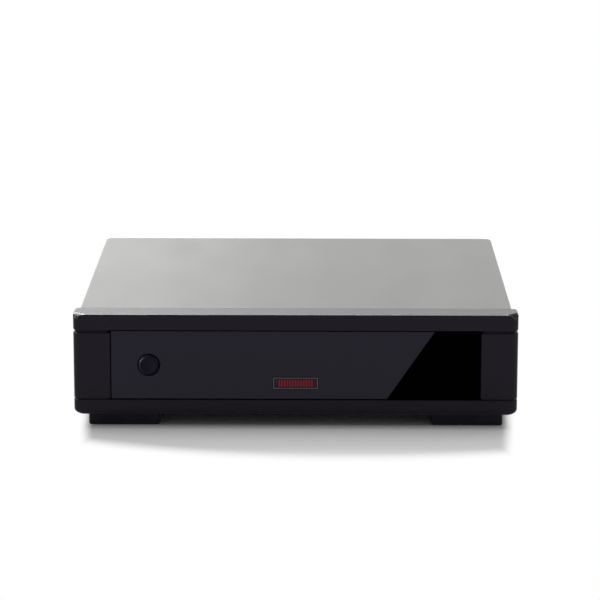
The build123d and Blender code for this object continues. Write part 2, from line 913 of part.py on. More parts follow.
# Solder tag behind the panel
with BuildPart() as earth_solder_tag:
    with BuildSketch(at_depth(panel_inner_y)):
        with Locations((earth_x, middle_z)):
            Circle(tag_radius)
        with Locations((earth_x, middle_z + tag_length)):
            SlotCenterToCenter(2 * tag_length, tag_width, rotation=90)
        with Locations((earth_x, middle_z)):
            Circle(stud_radius + thumb_nut_bore_gap, mode=Mode.SUBTRACT)
    extrude(amount=tag_thickness)
save(earth_solder_tag.part, "earth_solder_tag")

# Lock nut that clamps the stud to the panel
with BuildPart() as earth_lock_nut:
    with BuildSketch(at_depth(panel_inner_y - tag_thickness)):
        with Locations((earth_x, middle_z)):
            RegularPolygon(lock_nut_flats / 2, 6, major_radius=False)
            Circle(stud_radius + thumb_nut_bore_gap, mode=Mode.SUBTRACT)
    extrude(amount=lock_nut_thickness)
save(earth_lock_nut.part, "earth_lock_nut")

# Earth lead, from the tag down to the main board
with BuildPart() as earth_lead:
    lead_y = panel_inner_y - tag_thickness
    lead_z = middle_z + 2 * tag_length
    with BuildLine(Plane.YZ.offset(earth_x)) as lead_path:
        FilletPolyline(
            (lead_y, lead_z),
            (lead_y - lead_reach, lead_z),
            (lead_y - lead_reach, board_top_z),
            radius=lead_bend,
        )
    with BuildSketch(at_depth(lead_y)):
        with Locations((earth_x, lead_z)):
            Circle(lead_radius)
    sweep(path=lead_path.line)
save(earth_lead.part, "earth_lead")

# Main board
with BuildPart() as main_board:
    with BuildSketch(Plane.XY.offset(board_low_z)):
        with Locations((0, board_middle_y)):
            RectangleRounded(2 * board_half, 2 * board_half_length, board_corner_radius)
        with Locations(*standoff_places):
            Circle(screw_radius + screw_hole_gap, mode=Mode.SUBTRACT)
    extrude(amount=board_thickness)
save(main_board.part, "main_board")

# Front board, which stands upright behind the window
with BuildPart() as front_board:
    box_between(
        (front_board_left, front_board_y, board_low_z - front_board_clearance),
        (front_board_right, main_board_y, collar_top_z - collar_wall - front_board_clearance),
    )
save(front_board.part, "front_board")

# Header that joins the two boards
with BuildPart() as board_header:
    box_between(
        (header_x - header_width / 2, main_board_y, board_top_z),
        (header_x + header_width / 2, main_board_y + header_size, board_top_z + header_size),
    )
save(board_header.part, "board_header")

# Standoffs under the main board
with BuildPart() as board_standoffs:
    for x, y in standoff_places:
        with Locations((x, y, floor_top_z)):
            Cylinder(standoff_radius, board_low_z - floor_top_z, align=lowest)
            Cylinder(
                screw_radius + screw_pilot_gap,
                board_low_z - floor_top_z,
                align=lowest,
                mode=Mode.SUBTRACT,
            )
save(board_standoffs.part, "board_standoffs")

# Screws that hold the main board
with BuildPart() as board_screws:
    for x, y in standoff_places:
        tip = board_low_z - screw_grip
        head = board_top_z + pan_head_height
        turn_upright(x, y, [
            (0, tip),
            (screw_radius - screw_point, tip),
            (screw_radius, tip + screw_point),
            (screw_radius, board_top_z),
            (pan_head_radius, board_top_z),
            (pan_head_radius, head - pan_head_round),
            (pan_head_radius - pan_head_round, head),
            (0, head),
        ])
        with Locations((x, y, head - screw_slot_depth)):
            cross_slot(pan_head_radius)
save(board_screws.part, "board_screws")

# Indicator lamps and the spacers that hold them off the front board
led_y = window_back_y + indicator_flange_thickness + led_gap
with BuildPart() as indicator_leds:
    for x in (-led_step, led_step):
        tube_along(x, indicator_z, led_y, led_y + led_length, led_radius, 0)
    fillet(indicator_leds.edges().group_by(Axis.Y)[0], led_dome)
    for x in (-led_step, led_step):
        collar = led_y + led_length
        tube_along(x, indicator_z, collar - led_collar_thickness, collar, led_radius + led_collar, 0)
save(indicator_leds.part, "indicator_leds")

with BuildPart() as led_spacers:
    half = led_spacer_width / 2
    for x in (-led_step, led_step):
        box_between(
            (x - half, led_y + led_length, indicator_z - half),
            (x + half, front_board_y, indicator_z + half),
        )
save(led_spacers.part, "led_spacers")


def on_board(shares):
    """Places on the main board from shares of its half width and half length."""
    return [(x * board_half, board_middle_y + y * board_half_length) for x, y in shares]


def in_channels(steps):
    """The same places in both channels, from millimetres across and shares of the half length."""
    return [
        (centre * board_half + x, board_middle_y + y * board_half_length)
        for centre in channel_centres
        for x, y in steps
    ]


def cans(places, radius, height):
    """Upright round capacitors with a crimp ring and a scored top."""
    for x, y in places:
        with Locations((x, y, board_top_z)):
            Cylinder(radius, height, align=lowest)
        with Locations((x, y, board_top_z + crimp_height)):
            Torus(radius, crimp_radius, mode=Mode.SUBTRACT)
        with Locations((x, y, board_top_z + height - vent_depth)):
            Box(vent_share * radius, vent_width, vent_depth, align=lowest, mode=Mode.SUBTRACT)
            Box(vent_width, vent_share * radius, vent_depth, align=lowest, mode=Mode.SUBTRACT)


def axial_parts(places, radius, length):
    """Lying parts whose wires bend down to the board at both ends."""
    z = board_top_z + axial_lift + radius
    for x, y in places:
        reach = length / 2 + wire_reach
        with BuildLine(Plane.YZ.offset(x)) as wire:
            FilletPolyline(
                (y - reach, board_top_z),
                (y - reach, z),
                (y + reach, z),
                (y + reach, board_top_z),
                radius=wire_bend,
            )
        with BuildSketch(Plane.XY.offset(board_top_z)) as section:
            with Locations((x, y - reach)):
                Circle(wire_radius)
        sweep(section.sketch, path=wire.line)
        tube_along(x, z, y - length / 2, y + length / 2, radius, 0)


# Large smoothing capacitors
with BuildPart() as smoothing_capacitors:
    cans(on_board(smoothing_places), smoothing_radius, smoothing_height)
save(smoothing_capacitors.part, "smoothing_capacitors")

# Small signal capacitors
with BuildPart() as signal_capacitors:
    cans(in_channels(signal_cap_steps), signal_cap_radius, signal_cap_height)
save(signal_capacitors.part, "signal_capacitors")

# Film capacitors
with BuildPart() as film_capacitors:
    for x, y in in_channels(film_steps):
        with Locations((x, y, board_top_z)):
            Box(film_width, film_depth, film_height, align=lowest)
    film_rims = film_capacitors.edges().filter_by(
        lambda e: e.center().Z > board_top_z + film_edge_radius
    )
    fillet(film_rims, film_edge_radius)
save(film_capacitors.part, "film_capacitors")

# Resistors in two rows for each channel
resistor_steps = [
    ((column - (resistor_columns - 1) / 2) * resistor_column_pitch, row)
    for row in resistor_rows
    for column in range(resistor_columns)
]
with BuildPart() as resistors:
    axial_parts(in_channels(resistor_steps), resistor_radius, resistor_length)
save(resistors.part, "resistors")

# Rectifier diodes
with BuildPart() as rectifier_diodes:
    axial_parts(on_board(diode_places), diode_radius, diode_length)
save(rectifier_diodes.part, "rectifier_diodes")

# Transistors: round bodies with a flat, on three legs
with BuildPart() as transistors:
    for x, y in in_channels(transistor_steps):
        low = board_top_z + transistor_lift
        with Locations((x, y, low)):
            Cylinder(transistor_radius, transistor_height, align=lowest)
        box_between(
            (x - transistor_radius, y - transistor_radius, low),
            (x + transistor_radius, y - transistor_flat, low + transistor_height),
            Mode.SUBTRACT,
        )
        with Locations(*((x + step * leg_pitch, y, board_top_z) for step in (-1, 0, 1))):
            Box(leg_width, leg_width, transistor_lift, align=lowest)
save(transistors.part, "transistors")

# Amplifier chips, one for each channel
with BuildPart() as amplifier_chips:
    for x, y in in_channels([(0, chip_row)]):
        low = board_top_z + chip_lift
        with Locations((x, y, low)):
            Box(chip_length, chip_width, chip_height, align=lowest)
        with Locations((x - chip_length / 2, y, low + chip_height / 2)):
            Cylinder(chip_notch, chip_height, align=lowest, mode=Mode.SUBTRACT)
        for pin in range(chip_pins):
            pin_x = x + (pin - (chip_pins - 1) / 2) * chip_pitch
            for side in (-1, 1):
                leg_y = y + side * (chip_width / 2 + chip_leg_reach / 2)
                with Locations((pin_x, leg_y, low + chip_height / 2)):
                    Box(leg_width, chip_leg_reach, chip_leg_thickness)
                leg_y = y + side * (chip_width / 2 + chip_leg_reach - chip_leg_thickness / 2)
                with Locations((pin_x, leg_y, board_top_z)):
                    Box(leg_width, chip_leg_thickness, chip_lift + chip_height / 2, align=lowest)
save(amplifier_chips.part, "amplifier_chips")

# Voltage regulators, heatsinks and the screws that join them
tab_top = board_top_z + regulator_lift + tab_height
tab_screw_z = tab_top - tab_screw_drop
with BuildPart() as voltage_regulators:
    for x, y in on_board(regulator_places):
        low = board_top_z + regulator_lift
        box_between(
            (x - regulator_width / 2, y - regulator_depth, low),
            (x + regulator_width / 2, y, low + regulator_height),
        )
        box_between(
            (x - regulator_width / 2, y - tab_thickness, low), (x + regulator_width / 2, y, tab_top)
        )
        tube_along(
            x,
            tab_screw_z,
            y - tab_thickness - overrun,
            y + overrun,
            screw_radius + tab_hole_gap,
            0,
            Mode.SUBTRACT,
        )
        for step in (-1, 0, 1):
            with Locations((x + step * regulator_pitch, y - regulator_depth / 2, board_top_z)):
                Box(leg_width, leg_width, regulator_lift, align=lowest)
save(voltage_regulators.part, "voltage_regulators")

with BuildPart() as heatsinks:
    for x, y in on_board(regulator_places):
        box_between(
            (x - sink_width / 2, y, board_top_z),
            (x + sink_width / 2, y + sink_base, board_top_z + sink_height),
        )
        for fin in range(sink_fins):
            fin_x = x + (fin / (sink_fins - 1) - 0.5) * (sink_width - sink_fin_thickness)
            box_between(
                (fin_x - sink_fin_thickness / 2, y, board_top_z),
                (fin_x + sink_fin_thickness / 2, y + sink_depth, board_top_z + sink_height),
            )
        tube_along(
            x,
            tab_screw_z,
            y - overrun,
            y + tab_screw_length + screw_pilot_gap,
            screw_radius + screw_pilot_gap,
            0,
            Mode.SUBTRACT,
        )
save(heatsinks.part, "heatsinks")

with BuildPart() as heatsink_screws:
    for x, y in on_board(regulator_places):
        face = y - tab_thickness
        turn_along(x, tab_screw_z, [
            (face - pan_head_height, 0),
            (y + tab_screw_length, 0),
            (y + tab_screw_length, screw_radius),
            (face, screw_radius),
            (face, pan_head_radius),
            (face - pan_head_height + pan_head_round, pan_head_radius),
            (face - pan_head_height, pan_head_radius - pan_head_round),
        ])
save(heatsink_screws.part, "heatsink_screws")
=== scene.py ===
"""Looks of a small phono preamplifier: bezel, window, button, cover, feet, sockets and earth terminal.

Lengths in the code are millimetres and become metres where a mesh is made. X runs along the front, Y goes
from the front to the back, Z is up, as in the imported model.
"""

import json
import math
from functools import partial

import bpy
import numpy as np
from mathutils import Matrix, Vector
from mathutils.geometry import delaunay_2d_cdt


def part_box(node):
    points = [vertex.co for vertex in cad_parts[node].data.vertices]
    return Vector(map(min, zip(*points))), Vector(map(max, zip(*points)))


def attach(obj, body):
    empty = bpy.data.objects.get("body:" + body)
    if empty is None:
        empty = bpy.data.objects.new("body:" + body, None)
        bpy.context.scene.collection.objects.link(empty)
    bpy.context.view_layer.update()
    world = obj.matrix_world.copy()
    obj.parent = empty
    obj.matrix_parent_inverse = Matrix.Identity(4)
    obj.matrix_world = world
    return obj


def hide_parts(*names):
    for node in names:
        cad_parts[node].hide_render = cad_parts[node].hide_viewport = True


bl_info = {
    "name": "Phono preamplifier",
    "version": (1, 0, 0),
    "blender": (4, 5, 0),
    "location": "3D View > Sidebar > Preamp",
    "description": "Builds the outer pieces, finishes and studio of a small phono preamplifier",
    "category": "Object",
}

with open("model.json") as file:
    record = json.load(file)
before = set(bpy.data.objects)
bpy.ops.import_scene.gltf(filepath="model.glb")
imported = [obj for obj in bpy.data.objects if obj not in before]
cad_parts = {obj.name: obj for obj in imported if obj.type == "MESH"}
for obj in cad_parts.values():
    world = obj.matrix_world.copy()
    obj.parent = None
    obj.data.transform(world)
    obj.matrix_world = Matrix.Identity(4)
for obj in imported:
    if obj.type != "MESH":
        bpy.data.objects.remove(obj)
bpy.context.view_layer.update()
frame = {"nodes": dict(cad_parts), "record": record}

METRE = 0.001
ARC_STEPS = 9
QUARTER = np.linspace(0, np.pi / 2, ARC_STEPS + 1)
CORNER_ANGLES = np.array([1.0, 1.5, 0.0, 0.5])[:, None] * np.pi + QUARTER
SHARP = 0.02  # radius of a corner, or of a turned piece's capped end, that looks like none


def node_box(node):
    """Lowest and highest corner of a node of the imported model, in millimetres."""
    low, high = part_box(node)
    return np.array(low) / METRE, np.array(high) / METRE


def middle(node):
    """The x and z about which a node is turned."""
    low, high = node_box(node)
    return (low[0] + high[0]) / 2, (low[2] + high[2]) / 2


def ends(node):
    """Where a node starts and ends from front to back."""
    low, high = node_box(node)
    return low[1], high[1]


BEZEL_LOW, BEZEL_HIGH = node_box("front_bezel")
WINDOW_LOW, WINDOW_HIGH = node_box("front_window")
BUTTON_LOW, BUTTON_HIGH = node_box("power_button")
LENS_LOW, LENS_HIGH = node_box("indicator_lens")
COVER_LOW, COVER_HIGH = node_box("top_cover")

WINDOW_GAP, CHEEK_GAP, SEAM_GAP, LEDGE_GAP, FIT = 0.15, 0.35, 0.1, 0.3, 0.2
COVER_WALL, BASE_FLOOR = 2.0, 2.5
LIP_CORNER, BACK_CORNER, COVER_CORNER = 3.0, 1.2, 3.5
BACK_SHARE = 0.3  # share of an edge's inset at the back of the mouldings, where they meet the cover

BUTTON_X = middle("power_button")[0]
LOWER_GROOVE = WINDOW_LOW[2] - WINDOW_GAP
UPPER_GROOVE = WINDOW_HIGH[2] + WINDOW_GAP
MIDDLE_Z = (LOWER_GROOVE + UPPER_GROOVE) / 2
BEZEL_FRONT_Y = BEZEL_LOW[1]
SEAM_Y = COVER_LOW[1]
BEZEL_BACK_Y = SEAM_Y - SEAM_GAP
LEDGE_Y = WINDOW_HIGH[1] + LEDGE_GAP
FLOOR_TOP = node_box("base_tray")[0][2] + BASE_FLOOR
TONGUE_TOP = FLOOR_TOP + FIT
CEILING = COVER_HIGH[2] - COVER_WALL


# Shapes

def grid_faces(rows, columns, wrap_rows=False, wrap_columns=False):
    """Four-sided faces of a grid of points, numbered row by row, closed on itself where it wraps."""
    first = np.arange(rows * columns).reshape(rows, columns)
    second, fourth = np.roll(first, -1, 1), np.roll(first, -1, 0)
    faces = np.stack([first, second, np.roll(second, -1, 0), fourth], -1)
    return faces[:rows if wrap_rows else -1, :columns if wrap_columns else -1].reshape(-1, 4)


def turned_out(points, faces):
    """The faces, all reversed where the closed shape's signed volume comes out negative.

    Each face is cut into a fan from its first corner, and the volume is a sixth of the sum of the triple
    products of the fan's corners.
    """
    volume = 0.0
    for face in faces:
        fan = points[face]
        volume += (np.cross(fan[1:-1], fan[2:]) * fan[0]).sum()
    return [face[::-1] for face in faces] if volume < 0 else faces


def stack(rings, around=False):
    """A closed shape through a stack of closed rings: capped at both ends, or joined end to end."""
    rings = np.asarray(rings, float)
    count, size = rings.shape[:2]
    faces = grid_faces(count, size, around, True).tolist()
    if not around:
        faces += [list(range(size))[::-1], list(range((count - 1) * size, count * size))]
    points = rings.reshape(-1, 3)
    return points, turned_out(points, faces)


def arc(start, end, steps=ARC_STEPS):
    """Points on the quarter ellipse that leaves start along the second coordinate and reaches end along
    the first: centre plus the half axes times the cosine and the sine of an angle from 0 to 90 degrees."""
    angle = np.linspace(0, np.pi / 2, steps + 1)[:, None]
    start, end = np.asarray(start, float), np.asarray(end, float)
    centre = np.array([end[0], start[1]])
    return centre + (start - centre) * np.cos(angle) + (end - centre) * np.sin(angle)


def arc_back(start, end, steps=ARC_STEPS):
    """The quarter ellipse that leaves start along the first coordinate instead."""
    return arc(end, start, steps)[::-1]


def lead_in(level, radius, steps=ARC_STEPS):
    """Levels and insets of a round edge that opens out above a level."""
    return arc((level, radius), (level + radius, 0), steps)


def lead_out(level, radius, steps=ARC_STEPS):
    """Levels and insets of a round edge that closes in below a level."""
    return arc_back((level - radius, 0), (level, radius), steps)


def joined(*runs):
    """One line of points through several runs, without points that fall on the one before."""
    line = np.concatenate([np.atleast_2d(np.asarray(run, float)) for run in runs])
    keep = np.r_[True, np.linalg.norm(np.diff(line, axis=0), axis=1) > 1e-6]
    return line[keep]


def rectangle_ring(low, high, radii, inset=0.0, sides=(1, 1, 1, 1)):
    """A rectangle as a closed ring, drawn in by the inset times the weight of its left, right, low and high
    side. Each corner is an arc: its centre plus its radius times the cosine and sine of a quarter turn. The
    corners run from low x and low y, anticlockwise."""
    left, right, near, far = (weight * inset for weight in sides)
    x0, x1, y0, y1 = low[0] + left, high[0] - right, low[1] + near, high[1] - far
    radii = np.maximum(np.broadcast_to(np.asarray(radii, float), 4), SHARP)[:, None]
    x = np.array([x0, x1, x1, x0])[:, None] + radii * np.array([1, -1, -1, 1])[:, None]
    y = np.array([y0, y0, y1, y1])[:, None] + radii * np.array([1, 1, -1, -1])[:, None]
    return np.stack([x + radii * np.cos(CORNER_ANGLES), y + radii * np.sin(CORNER_ANGLES)], -1).reshape(-1, 2)


def full_turn(steps):
    """Angles spread evenly round a circle."""
    return np.linspace(0, 2 * np.pi, steps, endpoint=False)


def round_axis(centre, angle, radius, along=0.0, axis=1):
    """Points about a line along an axis: its place plus the radius times the angle's cosine and sine."""
    ring = [centre[0] + radius * np.cos(angle), centre[1] + radius * np.sin(angle)]
    ring.insert(axis, np.broadcast_to(along, ring[0].shape))
    return np.stack(ring, -1)


def raised(ring, level, axis=2):
    """A flat ring set at a level on the x, y or z axis."""
    return np.insert(ring, axis, level, axis=1)


def slab(low, high, radii, levels, sides=(1, 1, 1, 1), axis=2):
    """A block whose outline at each level is the rectangle drawn in by that level's inset, with corner arcs
    that shrink by the same inset."""
    radii = np.asarray(radii, float)
    return stack([
        raised(rectangle_ring(low, high, radii - inset * (radii > inset), inset, sides), level, axis)
        for level, inset in levels
    ])


def crowned(low, high, radii, edge, corner):
    """A block whose rim follows one profile of levels and insets along its sides, and another round its two
    front corners, whose arcs grow with it: the second's share at a corner is the squared sine of twice the
    angle run in it."""
    growth, pull, back_share = 1.8, 0.45, 0.12
    front = np.array([1.0, 1.0, 0.0, 0.0])
    outward = np.stack([np.cos(CORNER_ANGLES), np.sin(CORNER_ANGLES)], -1).reshape(-1, 2)
    share = (front[:, None] * np.sin(2 * QUARTER) ** 2).ravel()
    rings = []
    for (level, inset), (corner_level, corner_inset) in zip(edge, corner):
        cut = corner_inset - inset
        rounds = np.asarray(radii) - inset + growth * front * cut
        ring = rectangle_ring(low, high, rounds, inset, (1, 1, 1, back_share))
        ring = ring - (pull * share * cut)[:, None] * outward
        rings.append(np.column_stack([ring, level + share * (corner_level - level)]))
    return stack(rings)


def tunnel(low, high, wall, depths, radius):
    """A frame of even wall round an opening: an outer and an inner rounded rectangle at both depths."""
    start, end = depths
    corners = (0, start), (0, end), (wall, end), (wall, start)
    rings = [raised(rectangle_ring(low, high, radius, inset), y, 1) for inset, y in corners]
    return stack(rings, around=True)


def turned(profile, centre, axis=1, steps=48, closed=False):
    """A turned shape: each point (place on the axis, radius) of the profile gives a circle round the axis.
    Where the profile isn't closed, its two ends are capped."""
    profile = np.asarray(profile, float)
    return stack(round_axis(centre, full_turn(steps), profile[:, 1:], profile[:, :1], axis), closed)


def rim_profile(top, radius, slope):
    """Levels and insets of a rim: an arc from upright to 22 degrees off level, and a slope up to the top.

    On the arc, the inset is the radius times one less the sine, and the level its centre plus the radius
    times the cosine, of the angle between the surface's normal and the vertical.
    """
    tilt = np.radians(np.linspace(90, 22, 6))
    share = np.array([0.15, 0.85, 1.0])
    run = slope * np.cos(tilt[-1]) * share
    rise = slope * np.sin(tilt[-1]) * share
    level = np.r_[radius * np.cos(tilt), radius * np.cos(tilt[-1]) + rise]
    inset = np.r_[radius * (1 - np.sin(tilt)), radius * (1 - np.sin(tilt[-1])) + run]
    return np.stack([top - level[-1] + level, inset], -1)


def run_along(section, path):
    """A bar: each point of a closed section gives one line of points along the path, capped at its ends.

    path(point) returns that line for one point of the section.
    """
    lines = np.array([path(point) for point in section])
    rows, columns = lines.shape[:2]
    starts = [i * columns for i in range(rows)]
    faces = grid_faces(rows, columns, True, False).tolist()
    faces += [starts, [i + columns - 1 for i in starts[::-1]]]
    points = lines.reshape(-1, 3)
    return points, turned_out(points, faces)


def pierced_plate(loops, levels):
    """A plate with holes: every loop is a function of the inset that returns a closed ring, the first
    the outline and the others holes. Each loop is carried through the levels, and the two faces are
    filled with the triangles that lie inside the outline and outside the holes."""
    points, sides, index, to_back, edges, outlines, k = [], [], [], [], [], [], 0
    for loop in loops:
        rings = np.array([raised(loop(inset), level, 1) for level, inset in levels])
        count, size = rings.shape[:2]
        points.append(rings.reshape(-1, 3))
        sides.append(grid_faces(count, size, False, True) + count * k)
        index.append(np.arange(size) + count * k)
        to_back.append(np.full(size, size * (count - 1)))
        edges += [(k + a, k + (a + 1) % size) for a in range(size)]
        outlines.append(rings[0][:, [0, 2]])
        k += size
    made, _, triangles, sources, _, _ = delaunay_2d_cdt(
        [Vector(p) for p in np.concatenate(outlines)], edges, [list(range(len(outlines[0])))], 0, 1e-7
    )
    centres = np.array([np.mean([made[c] for c in t], axis=0) for t in triangles])
    inside = within(centres, outlines[0])
    for hole in outlines[1:]:
        inside &= ~within(centres, hole)
    triangles = np.array([s[0] for s in sources])[np.array(triangles)[inside]]
    points, index, to_back = (np.concatenate(parts) for parts in (points, index, to_back))
    near, far = index[triangles], (index + to_back)[triangles][:, ::-1]
    quads = facing_like(near, np.concatenate(sides))
    return points, turned_out(points, quads + near.tolist() + far.tolist())


def facing_like(caps, sides):
    """The side faces, reversed where they run along a shared edge the same way as the caps do."""
    cap_edges = {(a, b) for t in caps.tolist() for a, b in zip(t, t[1:] + t[:1])}
    faces = sides.tolist()
    shared = [f for f in faces if (f[0], f[1]) in cap_edges or (f[1], f[0]) in cap_edges]
    same = sum((f[0], f[1]) in cap_edges for f in shared)
    return [f[::-1] for f in faces] if same > len(shared) / 2 else faces


def within(points, ring):
    """Whether each point lies in a closed ring: a line from the point crosses it an odd number of times."""
    a, b = ring, np.roll(ring, -1, axis=0)
    x, y = points[:, :1], points[:, 1:2]
    spans = (a[:, 1] > y) != (b[:, 1] > y)
    run = np.where(b[:, 1] == a[:, 1], 1.0, b[:, 1] - a[:, 1])
    crossing = a[:, 0] + (y - a[:, 1]) * (b[:, 0] - a[:, 0]) / run
    return (spans & (x < crossing)).sum(axis=1) % 2 == 1


# Pieces

def place(name, shells, finish, stands_for, body="case", smooth=35.0):
    """Joins closed shells into one object, in metres, that stands for some nodes. A shell may come as a
    pair with the number of its finish."""
    points, faces, kinds, start = [], [], [], 0
    for shell in shells:
        kind, (corners, sides) = shell if isinstance(shell[0], int) else (0, shell)
        points.append(corners)
        faces += [[k + start for k in face] for face in sides]
        kinds += [kind] * len(sides)
        start += len(corners)
    mesh = bpy.data.meshes.new(name)
    mesh.from_pydata((np.concatenate(points) * METRE).tolist(), [], faces)
    for material in finish if isinstance(finish, list) else [finish]:
        mesh.materials.append(material)
    mesh.polygons.foreach_set("material_index", kinds)
    dress(bpy.data.objects.new(name, mesh), stands_for, body, smooth)


def dress(piece, stands_for, body="case", smooth=35.0):
    """Links a piece, shades it smooth up to an angle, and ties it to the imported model."""
    bpy.context.scene.collection.objects.link(piece)
    piece.data.validate()
    piece.data.shade_smooth()
    piece.data.set_sharp_from_angle(angle=math.radians(smooth))
    piece.modifiers.new("Even shading", "WEIGHTED_NORMAL").keep_sharp = True
    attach(piece, body)
    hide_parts(*stands_for)


def smooth_copy(node, finish):
    """A copy of a node's mesh with its loose triangles welded, so that its rounds shade smoothly."""
    weld = 1e6  # points that agree to a millionth of a metre are one
    source = frame["nodes"][node].data
    points = np.zeros(len(source.vertices) * 3)
    source.vertices.foreach_get("co", points)
    points = points.reshape(-1, 3)
    source.calc_loop_triangles()
    triangles = np.zeros(len(source.loop_triangles) * 3, int)
    source.loop_triangles.foreach_get("vertices", triangles)
    _, first, again = np.unique(
        np.round(points * weld).astype(int), axis=0, return_index=True, return_inverse=True
    )
    faces = again.reshape(-1)[triangles].reshape(-1, 3)
    whole = (faces != np.roll(faces, 1, axis=1)).all(axis=1)
    mesh = bpy.data.meshes.new(node + "_finished")
    mesh.from_pydata(points[first].tolist(), [], faces[whole].tolist())
    mesh.materials.append(finish)
    dress(bpy.data.objects.new(node + "_finished", mesh), [node])


# Finishes

def linear(colour):
    """A colour given on the 0 to 1 display scale, as the linear values that shaders take."""
    c = np.asarray(colour[:3], float)
    return tuple(np.where(c <= 0.04045, c / 12.92, ((c + 0.055) / 1.055) ** 2.4)) + (1.0,)


def new_finish(name, roughness, metallic=0.0, specular=0.5, tint=1.0):
    """A material with one Principled shader whose even values are set on its own sockets."""
    material = bpy.data.materials.new(name)
    material.use_nodes = True
    shader = material.node_tree.nodes["Principled BSDF"]
    shader.inputs["Roughness"].default_value = roughness
    shader.inputs["Metallic"].default_value = metallic
    shader.inputs["Specular IOR Level"].default_value = specular
    shader.inputs["Specular Tint"].default_value = (tint, tint, tint, 1.0)
    return material, material.node_tree, shader


def add(tree, kind, inputs, **settings):
    """A node with its settings. Each input, by name or number, takes a plain value or a node's output."""
    node = tree.nodes.new(kind)
    for key, value in settings.items():
        setattr(node, key, value)
    for socket, value in inputs.items():
        if isinstance(value, bpy.types.NodeSocket):
            tree.links.new(value, node.inputs[socket])
        else:
            node.inputs[socket].default_value = value
    return node


def calculated(tree, operation, *values):
    """A sum, product, extreme or other result of some values."""
    return add(tree, "ShaderNodeMath", dict(enumerate(values)), operation=operation).outputs[0]


def ranged(tree, value, low, high, start, end, ease="SMOOTHSTEP"):
    """A value's run from low to high, eased at both ends, as a run from start to end."""
    inputs = dict(enumerate((value, low, high, start, end)))
    return add(tree, "ShaderNodeMapRange", inputs, interpolation_type=ease).outputs[0]


def spread(tree, value, low, high):
    """Noise values from 0.3 to 0.7 drawn out evenly to run from low to high."""
    return ranged(tree, value, 0.3, 0.7, low, high, "LINEAR")


def blended(tree, share, first, second):
    """A mix of two linear colours by a share."""
    return add(tree, "ShaderNodeMix", {0: share, 6: first, 7: second}, data_type="RGBA").outputs[2]


def axes(tree, kind="Object"):
    """The x, y and z of the place on the object in metres, or of another kind of coordinate."""
    where = add(tree, "ShaderNodeTexCoord", {}).outputs[kind]
    return add(tree, "ShaderNodeSeparateXYZ", {0: where}).outputs


def place_of(tree, stretch=(1, 1, 1)):
    """The place on the object in metres, stretched along the axes."""
    where = add(tree, "ShaderNodeTexCoord", {}).outputs["Object"]
    return add(tree, "ShaderNodeMapping", {"Vector": where, "Scale": stretch}).outputs["Vector"]


def noise(tree, where, scale, detail=3.0):
    """Soft noise from 0 to 1, with features about one over the scale in metres."""
    inputs = {"Vector": where, "Scale": scale, "Detail": detail, "Roughness": 0.55}
    return add(tree, "ShaderNodeTexNoise", inputs).outputs["Fac"]


def relief(tree, shader, height, depth):
    """Bump from a height value, with its full depth in millimetres."""
    bump = add(tree, "ShaderNodeBump", {"Height": height, "Strength": 1.0, "Distance": depth * METRE})
    tree.links.new(bump.outputs["Normal"], shader.inputs["Normal"])


def grained(
    name, colour, roughness, metallic=0.0, specular=0.5, tint=1.0, tone=0.06, patch=45.0, grain=2600.0,
    depth=0.012, gloss=0.05, stretch=(1, 1, 1),
):
    """A finish with slow drifts of tone, a fine grain in relief, and roughness that varies a little."""
    material, tree, shader = new_finish(name, roughness, metallic, specular, tint)
    where = place_of(tree, stretch)
    plain = np.array(linear(colour)[:3])
    dark, light = (tuple(np.clip(plain * f, 0, 1)) + (1.0,) for f in (1 - tone, 1 + tone))
    drift = spread(tree, noise(tree, where, patch), 0, 1)
    wear = spread(tree, noise(tree, where, patch * 3), max(roughness - gloss, 0.02), roughness + gloss)
    tree.links.new(blended(tree, drift, dark, light), shader.inputs["Base Color"])
    tree.links.new(wear, shader.inputs["Roughness"])
    relief(tree, shader, noise(tree, where, grain, 2.0), depth)
    return material


def marked_lens(name, glass, line, bars, half_width, half_height, middle_z):
    """Dark lens with a fine outline and a row of equal upright bars behind it.

    The distance to the border and the place along the row come from the object's own x and z.
    """
    line_place, line_half, half_pitch, half_bar, end_margin, side_margin = (
        length * METRE for length in (0.2, 0.1, 0.55, 0.3, 2.05, 1.0)
    )
    half_width, half_height = half_width * METRE, half_height * METRE
    material, tree, shader = new_finish(name, 0.18, specular=0.12)
    across, _, up = axes(tree)
    result = partial(calculated, tree)
    x = result("ABSOLUTE", across)
    z = result("ABSOLUTE", result("SUBTRACT", up, middle_z * METRE))
    border = result("MINIMUM", result("SUBTRACT", half_width, x), result("SUBTRACT", half_height, z))
    outline = result("COMPARE", border, line_place, line_half)
    bar = result("LESS_THAN", result("PINGPONG", across, half_pitch), half_bar)
    in_row = result("LESS_THAN", x, half_width - end_margin)
    in_height = result("LESS_THAN", z, half_height - side_margin)
    lit = result("MULTIPLY", bar, result("MULTIPLY", in_row, in_height))
    shade = blended(tree, outline, blended(tree, lit, linear(glass), linear(bars)), linear(line))
    tree.links.new(shade, shader.inputs["Base Color"])
    relief(tree, shader, noise(tree, place_of(tree), 900.0), 0.004)
    return material


SATIN = dict(tone=0.03, grain=5200.0)
GLOSSY = dict(grain=700.0, depth=0.0004, gloss=0.02)
PLATED = dict(metallic=1.0, grain=1500.0, depth=0.002)


# Settings that a user changes

def colour_setting(name, what, default):
    return bpy.props.FloatVectorProperty(
        name=name, description="Colour of " + what, default=default, min=0.0, max=1.0, size=3,
        subtype="COLOR_GAMMA",
    )


def length_setting(name, what, default, low=0.0, high=100.0):
    return plain_setting(name, what + ", in mm", default, min=low, max=high)


def plain_setting(name, what, default, **more):
    return bpy.props.FloatProperty(name=name, description=what, default=default, **more)


